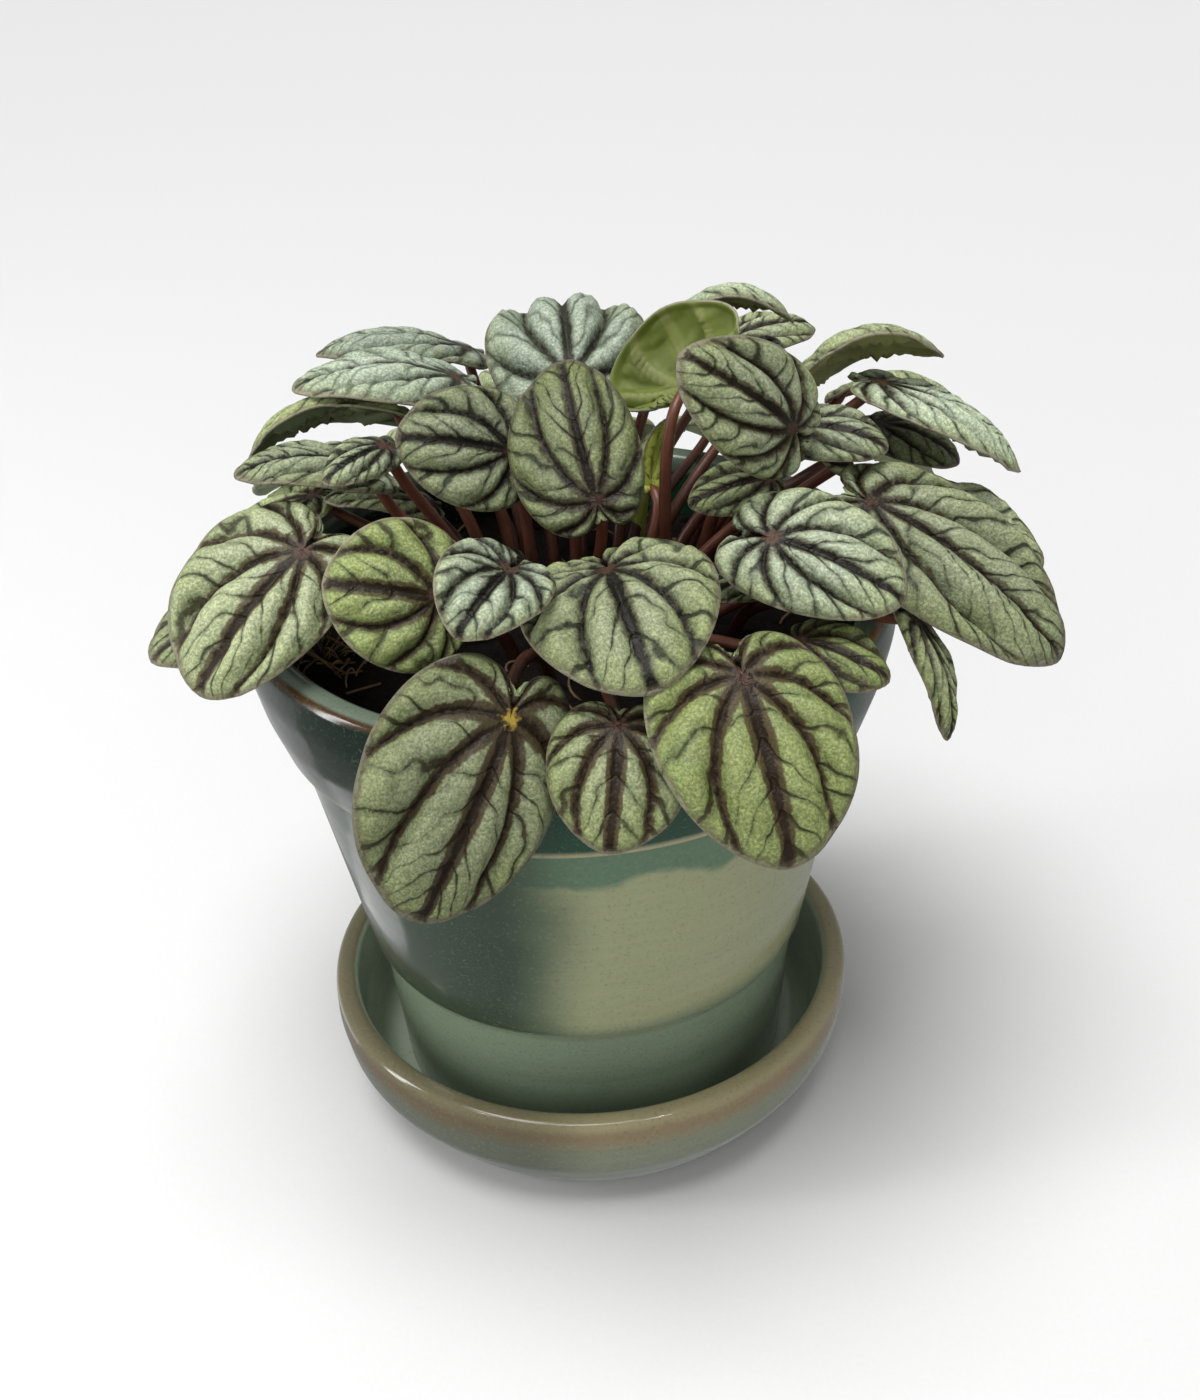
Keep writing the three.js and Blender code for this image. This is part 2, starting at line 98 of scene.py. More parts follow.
# Places and widths are in mm.
# at: where the stalk meets the blade. tip: the blade's point. up: the way its upper face looks.
# arch: rise of the midrib over its length. droop: fall of the margins over half the width.
# fold: slope of each half away from the midrib. skew: how far one half is set towards the tip.
# lean: how much wider one half is than the other. taper: large for a round tip, in degrees.
# notch: small for deep lobes behind the stalk. foot: where the stalk leaves the mix.
# green: 0 silver to 1 fresh green. flush: brown along the veins. star: 1 for a yellow heart.
# shade: below 1 is painted shade on a leaf that lies in shadow, above 1 painted light on a leaf in full
# light.
# under: the underside's colour. ripple: depth of the quilting.
LEAVES = [
    # front, hanging over the lip
    dict(name="leaf_front_left", at=(-11, -67, 132), tip=(-29, -80, 100), up=(3, -8, 4), width=35,
         skew=-0.05, lean=-0.18, taper=64, notch=0.6, green=0.35, flush=0.9, star=1, shade=0.54),
    dict(name="leaf_front_middle", at=(7, -68, 130), tip=(4, -81, 113), up=(0, -8, 5), width=25,
         lean=0.05, notch=0.6, foot=(0, -22), green=0.45, flush=0.6, shade=0.74),
    dict(name="leaf_front_right", at=(28, -66, 137), tip=(34, -83, 109), up=(2, -9, 5), width=35,
         skew=0.1, lean=-0.04, droop=0.08, taper=46, notch=0.5, green=0.9, flush=0.65, shade=0.77),
    dict(name="leaf_front_centre", at=(7, -46, 148), tip=(13, -70, 137), up=(-1, -4, 9), width=35,
         arch=0.12, droop=0.1, notch=0.2, green=0.3, flush=0.2, shade=0.76, ripple=1.3),
    dict(name="leaf_front_folded", at=(-10, -50, 151), tip=(-19, -62, 145), up=(1, -4, 8), width=20,
         fold=0.4, notch=0.2, foot=(-5, -17), green=0.1, flush=0.1, shade=0.88),
    dict(name="leaf_front_round", at=(-24, -32, 137), tip=(-44, -35, 143), up=(0, -8, 6), width=29,
         taper=60, notch=0.15, green=0.85, flush=0.45, shade=0.98),
    # left
    dict(name="leaf_left_outer", at=(-48, -26, 145), tip=(-68, -42, 125), up=(-2, -7, 7), width=33,
         lean=-0.18, taper=58, notch=0.4, foot=(-18, -7), green=0.25, flush=0.5, shade=0.92,
         ripple=1.15),
    dict(name="leaf_left_under", at=(-54, -10, 130), tip=(-79, -28, 125), up=(-2, -5, 9), width=22,
         shade=0.8),
    dict(name="leaf_left_upper", at=(-9, -14, 157), tip=(-30, -16, 162), up=(0, -8, 6), width=24,
         taper=58, notch=0.35, green=0.25, flush=0.2, shade=0.63),
    dict(name="leaf_left_level", at=(-36, -2, 150), tip=(-61, -12, 155), up=(1, 0, 9), width=20,
         green=0.2, flush=0.05, shade=0.78),
    dict(name="leaf_left_small", at=(-32, -13, 159), tip=(-43, -23, 157), up=(-2, -6, 8), width=11,
         green=0.2, flush=0.1, shade=0.9),
    dict(name="leaf_left_low", at=(-28, 18, 133), tip=(-49, 14, 137), up=(0, 0, 9), width=15,
         foot=(-19, 12)),
    dict(name="leaf_left_turned", at=(-33, 18, 154), tip=(-63, 12, 147), up=(0, 5, 9), width=26,
         arch=0.2, green=0.4, under="painted_shade"),
    dict(name="leaf_left_long", at=(-20, 18, 160), tip=(-52, 12, 162), up=(0, 0, 9), width=26,
         green=0, flush=0, shade=0.93),
    dict(name="leaf_left_back", at=(-19, 45, 156), tip=(-50, 38, 159), up=(0, 1, 9), width=22,
         green=0, flush=0, shade=0.75),
    # middle and top
    dict(name="leaf_mid_upright", at=(6, -27, 152), tip=(1, -7, 172), up=(-1, -9, 4), width=25,
         lean=0.15, taper=56, green=0.5, flush=0.4, shade=0.53),
    dict(name="leaf_mid_inner", at=(39, -13, 148), tip=(23, -18, 146), up=(0, -5, 8), width=13,
         foot=(17, -7), green=0.5, shade=0.7),
    dict(name="leaf_mid_young", at=(17, 4, 140), tip=(22, 10, 152), up=(-2, 8, 4), width=9,
         foot=(12, -2), green=1, under="fresh"),
    dict(name="leaf_mid_bud", at=(-8, -17, 135), tip=(-16, -21, 138), up=(0, -6, 8), width=9,
         foot=(-3, -14), green=0.3, shade=0.6),
    dict(name="leaf_top_centre", at=(3, 18, 158), tip=(2, 50, 161), up=(0, -2, 9), width=34,
         arch=0.24, green=0, flush=0.04, shade=0.78, ripple=1.4),
    dict(name="leaf_top_turned", at=(26, 5, 160), tip=(21, 14, 173), up=(2, 9, 3), width=33,
         arch=0.2, droop=0.3, notch=1.1, foot=(20, -3), green=0.1, under="yellow"),
    dict(name="leaf_top_crest", at=(25, 42, 160), tip=(51, 36, 161), up=(0, 4, 9), width=24,
         arch=0.25, green=0.1, under="olive"),
    dict(name="leaf_top_behind", at=(39, 28, 149), tip=(47, 42, 156), up=(0, -5, 8), width=13,
         green=0.1, shade=0.5),
    dict(name="leaf_top_far", at=(38, 56, 150), tip=(59, 62, 150), up=(0, -1, 9), width=18,
         foot=(13, 20)),
    # right
    dict(name="leaf_right_upper", at=(43, -16, 159), tip=(22, -24, 178), up=(0, -8, 6), width=24,
         skew=0.2, notch=0.2, foot=(25, -1), green=0.25, flush=0.4, shade=0.82),
    dict(name="leaf_right_cupped", at=(46, 0, 153), tip=(63, -7, 150), up=(1, -4, 9), width=16,
         foot=(24, 4), green=0.2, shade=0.75),
    dict(name="leaf_right_front", at=(37, -32, 145), tip=(60, -42, 136), up=(1, -6, 8), width=27,
         lean=0.1, notch=0.2, green=0.15, flush=0.2, shade=0.96, ripple=1.15),
    dict(name="leaf_right_large", at=(58, -15, 143), tip=(93, -32, 116), up=(4, -6, 8), width=33,
         droop=0.14, green=0.25, flush=0.35, shade=0.73, ripple=1.2),
    dict(name="leaf_right_behind", at=(69, 4, 135), tip=(95, -8, 123), up=(4, -4, 9), width=24,
         foot=(32, 3), green=0.2, shade=0.9),
    dict(name="leaf_right_hanging", at=(64, -33, 127), tip=(69, -46, 108), up=(7, -6, 0), width=13,
         foot=(32, -9), green=0.4, shade=0.7),
    dict(name="leaf_right_rim", at=(41, -43, 130), tip=(56, -51, 125), up=(1, -3, 9), width=17,
         green=1, flush=0.5, shade=0.75),
    dict(name="leaf_right_inner", at=(38, -15, 128), tip=(26, -21, 128), up=(0, -3, 9), width=10,
         foot=(21, -11)),
    dict(name="leaf_right_small", at=(57, 2, 144), tip=(50, -2, 148), up=(0, -6, 6), width=8,
         foot=(28, -1)),
    dict(name="leaf_right_turned", at=(48, 22, 153), tip=(79, 20, 158), up=(0, 5, 8), width=26,
         arch=0.22, under="olive"),
    dict(name="leaf_right_edge", at=(65, 14, 155), tip=(94, 10, 136), up=(4, 0, 8), width=24,
         foot=(28, 9), green=0.1, flush=0.2, shade=1.15),
    dict(name="leaf_right_shade", at=(67, 26, 141), tip=(84, 20, 134), up=(2, -2, 9), width=18,
         foot=(30, 12), green=0.4, shade=0.5),
    dict(name="leaf_right_brown", at=(64, 46, 142), tip=(89, 40, 135), up=(2, 4, 8), width=18,
         arch=0.2, foot=(24, 17), under="brown"),
    # back, hanging over the lip
    dict(name="leaf_back_left", at=(-44, 38, 138), tip=(-68, 52, 122), up=(-5, 5, 8), width=28),
    dict(name="leaf_back_mid_left", at=(-24, 56, 134), tip=(-32, 84, 116), up=(-2, 6, 8), width=30),
    dict(name="leaf_back_middle", at=(8, 64, 130), tip=(8, 84, 106), up=(0, 8, 6), width=32, green=0.5),
    dict(name="leaf_back_mid_right", at=(36, 60, 130), tip=(50, 82, 110), up=(3, 6, 8), width=28,
         foot=(17, 29)),
    dict(name="leaf_back_right", at=(62, 44, 134), tip=(84, 58, 112), up=(5, 4, 8), width=28,
         foot=(29, 24), green=0.6),
    dict(name="leaf_back_upper", at=(-6, 50, 144), tip=(-8, 76, 138), up=(0, 3, 9), width=24),
    dict(name="leaf_back_side", at=(-52, 22, 134), tip=(-78, 32, 116), up=(-7, 2, 7), width=28,
         green=0.5),
]
LEAF_DEFAULTS = dict(arch=0.1, droop=0.18, fold=0, skew=0, lean=0, taper=50, notch=0.8, foot=None,
                     green=0.25, flush=0.3, star=0, shade=1.0, under="green", ripple=1.0)
# yellow and olive hold painted light: the yellow glow of light shining through the thin blade. The underside
# for left_turned is painted shade: a darker underside for a leaf that lies in shadow.
UNDERSIDES = {"green": "8a9870", "yellow": "5e6929", "olive": "747748", "painted_shade": "5a6448",
              "brown": "6d5240", "fresh": "9aa63a"}
# What each point of a blade knows of its veins. phase counts the main veins round the blade. reach is the
# distance to the stalk and gap the space between two main veins, in mm. share is the way out to the margin,
# from 0 to 1. drift shifts the side veins, and spacing is the space between two of them in mm.
VEIN_ATTRIBUTES = ("phase", "reach", "gap", "share", "drift", "spacing")
SHARE = VEIN_ATTRIBUTES.index("share")

# ---------------------------------------------------------------- stalks, roots, crumbs and shoots

# counts, and sizes in mm
STALK_RADIUS = 1.1
STALK_SWELL = 0.4  # how much more the stalk's radius is where it leaves the mix
STALK_TOP_RADIUS = 0.7
STALK_POINTS = 18
CRUMBS = 420
CRUMB_RADIUS = (0.6, 1.9)
FIBRES = 46  # dry roots strewn over the whole mix
FIBRE_RADIUS = 0.28
FIBRE_LENGTH = (4, 12)
TUFT_FIBRES = 30  # finer ones, close together at the left
TUFT_RADIUS = 0.22
TUFT_LENGTH = (4, 10)
TUFT_X = (-57, -42)
TUFT_Y = (-20, -4)
FIBRE_POINTS = 9
CURVE_POINTS = 16

# Roots that lie over the lip, and young leaves that are still rolled up: the four points of a curve and a
# radius, in mm.
ROOTS_OVER_LIP = [
    (((-62.5, -24, 122), (-60, -22, 126), (-52, -19, 124), (-45, -20, 114)), 0.45),
    (((-59, -20, 124), (-55, -16, 125), (-50, -12, 118), (-49, -8, 114)), 0.3),
]
SHOOTS = [
    (((16, 27, 110), (15, 27, 118), (16, 23, 126), (18, 21, 134)), 1.7),
]

# ---------------------------------------------------------------- light and camera

WORLD_STRENGTH = 0.38
SUN_ANGLE_DEG = 40  # apparent size of the main light, which makes its shadows soft
POT_MIDDLE = (0, 0, 0.06)  # what the two large lamps point at, in metres

# Lamps that only the glaze mirrors: name, side in metres, watts, place, what it points at. The first two lie
# on the floor and stand for its bright patches, and the last two make small glints.
MIRRORED_LAMPS = [
    ("left_glow", 0.52, 0.26, (-0.34, 0.29, 0.002), (-0.34, 0.29, 1)),
    ("near_glow", 0.05, 0.006, (-0.1, 0.015, 0.002), (-0.1, 0.015, 1)),
    ("right_lamp", 0.07, 0.7, (0.3, -0.5, 0.9), (0, 0, 0.03)),
    ("left_lamp", 0.05, 0.3, (-0.55, -0.35, 0.82), (0, 0, 0.03)),
]

CAMERA_PLACE = (0, -0.3105, 0.286)
CAMERA_LENS = 44.56  # focal length in mm, on a sensor 36 mm wide
CAMERA_SENSOR = 36
CAMERA_PITCH_DEG = -31.85
CAMERA_YAW_DEG = -0.975
CAMERA_ROLL_DEG = -2.93

# ---------------------------------------------------------------- settings


class PotSettings(PropertyGroup):
    steps: IntProperty(
        name="Steps", description="Facets round the pot and the saucer", default=128, min=24, max=256
    )
    collar_colour: FloatVectorProperty(
        name="Collar", description="Dark glaze on the collar", subtype="COLOR", size=3,
        default=linear("123826")[:3], min=0, max=1,
    )
    wall_colour: FloatVectorProperty(
        name="Wall", description="Sage glaze that runs down from the collar", subtype="COLOR", size=3,
        default=linear("566e57")[:3], min=0, max=1,
    )


class LeafSettings(PropertyGroup):
    thickness: FloatProperty(
        name="Blade thickness", description="Thickness of a blade at its middle", default=1.1 * MM,
        unit="LENGTH", subtype="DISTANCE", min=0.0003, max=0.003,
    )
    ripple: FloatProperty(
        name="Ripple", description="Height of a ridge over the space between two veins", default=0.35,
        min=0, max=0.6,
    )
    vein_step: FloatProperty(
        name="Vein step", description="Angle between two main veins where they leave the stalk",
        default=math.radians(46), subtype="ANGLE", min=math.radians(15), max=math.radians(60),
    )
    spokes: IntProperty(
        name="Spokes", description="Facets round a large blade", default=112, min=16, max=200
    )
    rings: IntProperty(
        name="Rings", description="Facets from the stalk to the margin", default=36, min=6, max=80
    )


class StageSettings(PropertyGroup):
    floor_size: FloatProperty(
        name="Floor", description="Side of the floor", default=12, unit="LENGTH", subtype="DISTANCE"
    )
    key_power: FloatProperty(name="Key light", description="Strength of the main soft light", default=3.3)


class PeperomiaSettings(PropertyGroup):
    pot: PointerProperty(type=PotSettings)
    leaf: PointerProperty(type=LeafSettings)
    stage: PointerProperty(type=StageSettings)


# ---------------------------------------------------------------- helpers


def add_node(tree, kind, inputs=None, output=None, **settings):
    """Adds a node with its settings, and its inputs as values or links. Returns one of its outputs."""
    node = tree.nodes.new("ShaderNode" + kind)
    for key, value in settings.items():
        setattr(node, key, value)
    for name, value in (inputs or {}).items():
        if isinstance(value, bpy.types.NodeSocket):
            tree.links.new(value, node.inputs[name])
        else:
            node.inputs[name].default_value = value
    if output is not None:
        return node.outputs[output]
    return next((socket for socket in node.outputs if socket.enabled), None)


def new_material(name, constants):
    """A material with one Principled shader. Returns the material, a node adder and the shader's inputs."""
    material = bpy.data.materials.new(name)
    material.use_nodes = True
    tree = material.node_tree
    tree.nodes.clear()
    shader = tree.nodes.new("ShaderNodeBsdfPrincipled")
    for key, value in constants.items():
        shader.inputs[key].default_value = value
    output = tree.nodes.new("ShaderNodeOutputMaterial")
    tree.links.new(shader.outputs[0], output.inputs["Surface"])

    def feed(socket_name, value):
        tree.links.new(value, shader.inputs[socket_name])

    return material, partial(add_node, tree), feed


def new_piece(name, bm, materials, node=None):
    """Turns a bmesh into a finished, smooth-shaded piece that rides on the root body."""
    mesh = bpy.data.meshes.new(name)
    bm.to_mesh(mesh)
    bm.free()
    mesh.shade_smooth()
    for material in materials:
        mesh.materials.append(material)
    piece = bpy.data.objects.new(name, mesh)
    bpy.context.scene.collection.objects.link(piece)
    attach(piece, "root")
    if node:
        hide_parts(node)
    return piece


def add_lamp(name, kind, power, aim, place=(0, 0, 0), **settings):
    """Adds a lamp at a place in metres that points at aim. Returns its object."""
    data = bpy.data.lights.new(name, kind)
    data.energy = power
    for key, value in settings.items():
        setattr(data, key, value)
    lamp = bpy.data.objects.new(name, data)
    lamp.location = place
    lamp.rotation_euler = (Vector(aim) - lamp.location).to_track_quat("-Z", "Y").to_euler()
    bpy.context.scene.collection.objects.link(lamp)
    return lamp


def smooth_step(low, high, value):
    """0 up to low, 1 from high on, and a soft rise between them."""
    t = min(max((value - low) / (high - low), 0), 1)
    return t * t * (3 - 2 * t)


# ---------------------------------------------------------------- turned pieces


def rounded_outline(corners, closed):
    """Points in mm of an outline whose corners, (radius, height, rounding), are rounded off."""
    points = []
    count = len(corners)
    for i, (r, z, rounding) in enumerate(corners):
        here = Vector((r, z))
        if rounding == 0 or (not closed and i in (0, count - 1)):
            points.append(here)
            continue
        back = Vector(corners[i - 1][:2]) - here
        ahead = Vector(corners[(i + 1) % count][:2]) - here
        half = back.angle(ahead) / 2
        tangent = min(rounding / math.tan(half), 0.48 * back.length, 0.48 * ahead.length)
        start = here + back.normalized() * tangent
        end = here + ahead.normalized() * tangent
        steps = max(2, round(math.degrees(math.pi - 2 * half) / 9))
        for k in range(steps + 1):
            t = k / steps
            points.append(start * (1 - t) ** 2 + here * 2 * t * (1 - t) + end * t * t)
    return points


def spun(points, steps, closed):
    """A bmesh of an outline turned once round the Z axis."""
    bm = bmesh.new()
    verts = [bm.verts.new((p.x * MM, 0, p.y * MM)) for p in points]
    edges = [bm.edges.new(pair) for pair in zip(verts, verts[1:])]
    if closed:
        edges.append(bm.edges.new((verts[-1], verts[0])))
    bmesh.ops.spin(
        bm, geom=verts + edges, cent=(0, 0, 0), axis=(0, 0, 1), angle=math.tau, steps=steps, use_merge=True
    )
    bmesh.ops.remove_doubles(bm, verts=bm.verts, dist=1e-6)
    bmesh.ops.recalc_face_normals(bm, faces=bm.faces)
    return bm


def pot_outline():
    """The pot's wall as a closed outline: outside, lip, inside, floor and drain hole."""
    return rounded_outline(
        [
            (DRAIN_RADIUS, SAUCER_FLOOR + 2, 0.8),
            (FOOT_RADIUS - 8.5, SAUCER_FLOOR + 2, 0.8),
            (FOOT_RADIUS - 7, SAUCER_FLOOR, 0.6),
            (FOOT_RADIUS, SAUCER_FLOOR, 1.2),
            (SHOULDER_RADIUS - 2.1, SHOULDER_Z - 2.5, 3),
            (SHOULDER_RADIUS, SHOULDER_Z + 0.6, 3),
            (BODY_TOP_RADIUS, COLLAR_FOOT_Z - 0.6, 1.2),
            (BODY_TOP_RADIUS + 2.3, COLLAR_FOOT_Z + 0.2, 1),
            (COLLAR_RADIUS - 2.2, COLLAR_FOOT_Z + 9, 20),
            (COLLAR_RADIUS - 0.1, COLLAR_FOOT_Z + 19, 14),
            (COLLAR_RADIUS - 0.5, LIP_Z + 0.1, 3),
            (LIP_RADIUS - 4.2, LIP_Z + 0.1, 3),
            (BODY_TOP_RADIUS - 2, SOIL_Z, 8),
            (BODY_TOP_RADIUS - 5, COLLAR_FOOT_Z, 8),
            (SHOULDER_RADIUS - 5, SHOULDER_Z, 8),
            (FOOT_RADIUS - 5, SAUCER_FLOOR + POT_FLOOR, 4),
            (DRAIN_RADIUS, SAUCER_FLOOR + POT_FLOOR, 0.8),
        ],
        closed=True,
    )


def saucer_outline():
    """The saucer as an open outline: underside, outer wall, rolled rim, inner wall and floor."""
    return rounded_outline(
        [
            (0, 0, 0),
            (SAUCER_BASE_RADIUS + 2, 0, 2.5),
            (SAUCER_RIM_RADIUS - 6.8, 6, 10),
            (SAUCER_RIM_RADIUS - 1.2, 14, 12),
            (SAUCER_RIM_RADIUS, 21.5, 9),
            (SAUCER_RIM_RADIUS - 0.2, SAUCER_HEIGHT, 3.4),
            (SAUCER_RIM_RADIUS - 5.1, SAUCER_HEIGHT, 3),
            (SAUCER_RIM_RADIUS - 6, 17, 12),
            (SAUCER_BASE_RADIUS + 4.5, SAUCER_FLOOR, 6),
            (0, SAUCER_FLOOR, 0),
        ],
        closed=False,
    )


def stoneware_glaze(name, base, bands, inside, darker):
    """Reactive glaze fired on stoneware: glossy and a little uneven, with colours that run into each other.

    base is the colour at the foot. bands is a list of (height in mm, width of the change, unevenness of its
    edge, spread, colour above it). A colour with a spread of 1 also covers the left side. inside is (radius,
    height, colour): the glaze that lies within that radius and above that height. darker is (share, height):
    how much painted shade darkens the left side, as if it lay away from the light, and the height above
    which it and the spread begin.
    """
    material, node, feed = new_material(name, {"Roughness": 0.14, "IOR": 1.52})
    place = node("TexCoord", output="Object")
    axes = node("SeparateXYZ", {0: place}).node
    height = node("Math", {0: axes.outputs["Z"], 1: 1 / MM}, operation="MULTIPLY")
    # a scale of 1000 makes cells of 1 mm, so these edges wander in drips 30 mm apart, and finer ones 8 mm
    slow = node("TexNoise", {"Vector": place, "Scale": 33, "Detail": 2}, output=0)
    quick = node("TexNoise", {"Vector": place, "Scale": 125, "Detail": 3}, output=0)
    drips = node("Math", {0: quick, 1: 0.3, 2: slow}, operation="MULTIPLY_ADD")
    sideways = node("Math", {0: axes.outputs["X"], 1: 1 / MM}, operation="MULTIPLY")
    sideways = node("Math", {0: slow, 1: 14, 2: sideways}, operation="MULTIPLY_ADD")
    left = node("MapRange", {0: sideways, 1: 9, 2: -12}, interpolation_type="SMOOTHSTEP")
    raised = node("MapRange", {0: height, 1: darker[1] - 1, 2: darker[1] + 1})
    left = node("Math", {0: left, 1: raised}, operation="MULTIPLY")
    colour = node("RGB")
    colour.default_value = linear(base)
    for at, width, unevenness, spread, above in bands:
        edge = node("Math", {0: drips, 1: unevenness, 2: height}, operation="MULTIPLY_ADD")
        start = at - width / 2 + 0.65 * unevenness
        mask = node("MapRange", {0: edge, 1: start, 2: start + width}, interpolation_type="SMOOTHSTEP")
        if spread:
            mask = node("Math", {0: mask, 1: left}, operation="MAXIMUM")
        colour = node("Mix", {0: mask, 6: colour, 7: above}, data_type="RGBA")
    # painted shade: the left side is darkened by darker[0], as if it lay away from the light
    dim = node("MapRange", {0: left, 3: 1, 4: 1 - darker[0]})
    colour = node("Mix", {0: 1, 6: colour, 7: dim}, data_type="RGBA", blend_type="MULTIPLY")
    flat = node("VectorMath", {0: place, 1: (1 / MM, 1 / MM, 0)}, operation="MULTIPLY")
    radius = node("VectorMath", {0: flat}, output="Value", operation="LENGTH")
    within = node("MapRange", {0: radius, 1: inside[0] + 0.3, 2: inside[0] - 0.3})
    over = node("MapRange", {0: height, 1: inside[1] - 0.5, 2: inside[1] + 0.5})
    within = node("Math", {0: within, 1: over}, operation="MULTIPLY")
    # the saucer's inner wall lies within this cone, and its outer wall outside it
    cone = node("Math", {0: height, 1: -0.5, 2: radius}, operation="MULTIPLY_ADD")
    cone = node("MapRange", {0: cone, 1: SAUCER_BASE_RADIUS + 2.2, 2: SAUCER_BASE_RADIUS + 1.6})
    within = node("Math", {0: within, 1: cone}, operation="MULTIPLY")
    colour = node("Mix", {0: within, 6: colour, 7: inside[2]}, data_type="RGBA")
    # brushed streaks that run round the wall, 1 to 2 mm apart
    stretched = node("Mapping", {"Vector": place, "Scale": (14, 14, 700)})
    streaks = node("TexNoise", {"Vector": stretched, "Scale": 1, "Detail": 4, "Roughness": 0.7}, output=0)
    streak = node("MapRange", {0: streaks, 1: 0.3, 2: 0.7, 3: 0.96, 4: 1.04})
    colour = node("Mix", {0: 1, 6: colour, 7: streak}, data_type="RGBA", blend_type="MULTIPLY")
    # crystals in the glaze, under 1 mm
    crystals = node("TexNoise", {"Vector": place, "Scale": 1300, "Detail": 2, "Roughness": 0.7}, output=0)
    light = node("MapRange", {0: crystals, 1: 0.55, 2: 0.72, 4: 0.08}, interpolation_type="SMOOTHSTEP")
    colour = node("Mix", {0: light, 6: colour, 7: linear("a9b89a")}, data_type="RGBA")
    dark = node("MapRange", {0: crystals, 1: 0.45, 2: 0.28, 4: 0.28}, interpolation_type="SMOOTHSTEP")
    colour = node("Mix", {0: dark, 6: colour, 7: linear("34463f")}, data_type="RGBA")
    feed("Base Color", colour)
    gloss = node("MapRange", {0: quick, 1: 0.3, 2: 0.7, 3: 0.1, 4: 0.22})
    feed("Roughness", gloss)
    # the glaze pooled in slow waves, 17 mm apart
    waves = node("TexNoise", {"Vector": place, "Scale": 60, "Detail": 2}, output=0)
    relief = node("Math", {0: streaks, 1: 0.03, 2: waves}, operation="MULTIPLY_ADD")
    feed("Normal", node("Bump", {"Height": relief, "Strength": 0.5, "Distance": 0.5 * MM}))
    return material


# ---------------------------------------------------------------- leaves


def leaf_frame(leaf):
    """Length in mm and unit vectors of a blade: towards its tip, across it, and out of its upper face."""
    midrib = Vector(leaf["tip"]) - Vector(leaf["at"])
    along = midrib.normalized()
    up = Vector(leaf["up"])
    up = (up - along * up.dot(along)).normalized()
    return midrib.length, along, up.cross(along), up


def heart_reach(leaf, angle):
    """Distance from the stalk to the margin, as a share of the midrib, at an angle from the midrib."""
    away = abs(math.degrees(angle)) / leaf["taper"]
    return (math.cos(angle / 2) ** leaf["notch"] + math.exp(-(away**1.5))) / 2


def heart_half_width(leaf):
    """Largest distance from the midrib to the margin, as a share of the midrib."""
    return max(heart_reach(leaf, 0.02 * k) * math.sin(0.02 * k) for k in range(157))


def vein_phase(angle, share, step):
    """Counts the main veins round a blade: whole on a vein, 0 on the midrib. They bend towards the tip."""
    away = abs(math.degrees(angle))
    pull = VEIN_PULL_DEG * (1 - math.exp(-away / 6)) * share**1.6
    return math.copysign((away + pull) / math.degrees(step), angle)


def blade_point(leaf, shape, angle, share):
    """A point in mm on a blade's middle surface."""
    length, along, across, up, widest = shape
    half = leaf["width"] / 2
    reach = share * heart_reach(leaf, angle)
    lean = 1 + leaf["lean"] * math.copysign(1, angle)
    y = reach * math.sin(angle) * half * lean / widest
    x = reach * math.cos(angle) * length + leaf["skew"] * y
    a = x / length
    z = 4 * leaf["arch"] * length * a * (1 - a) - leaf["droop"] * y * y / half + leaf["fold"] * abs(y)
    return Vector(leaf["at"]) + along * x + across * y + up * z


def quilting(leaf, settings, values):
    """Height in mm of the upper face: it swells between the veins and sinks along them."""
    phase, reach, gap, share, drift, spacing = values
    # highest midway between two veins, and flatter towards the margin
    ridge = abs(math.sin(math.pi * phase)) ** 0.5
    main = settings.ripple * leaf["ripple"] * gap * smooth_step(0.04, 0.35, share) * (ridge - 0.7)
    main *= 1 - 0.86 * smooth_step(0.78, 1, share)
    # side veins leave a main vein on its outer side and cut the swelling into pillows
    past = (abs(phase) % 1) * gap
    rung = (reach - SIDE_VEIN_SLANT * past) / spacing + drift
    side = abs(rung - round(rung)) * spacing
    depth = 0.75 * (1 - 0.55 * smooth_step(0, 0.9 * gap, past)) + 0.15 * smooth_step(0.5, 0.9, share)
    crease = depth * math.exp(-((side / (0.2 * spacing)) ** 2)) * smooth_step(0.15, 0.5, share)
    beside_veins = smooth_step(0, 1.5, past) * smooth_step(0, 1.5, gap - past)
    crease *= beside_veins * (1 - smooth_step(0.84, 1, share))
    # the margin itself is rolled down a little
    curl = -0.8 * smooth_step(0.9, 1, share)
    return main - crease * leaf["width"] / 30 + curl


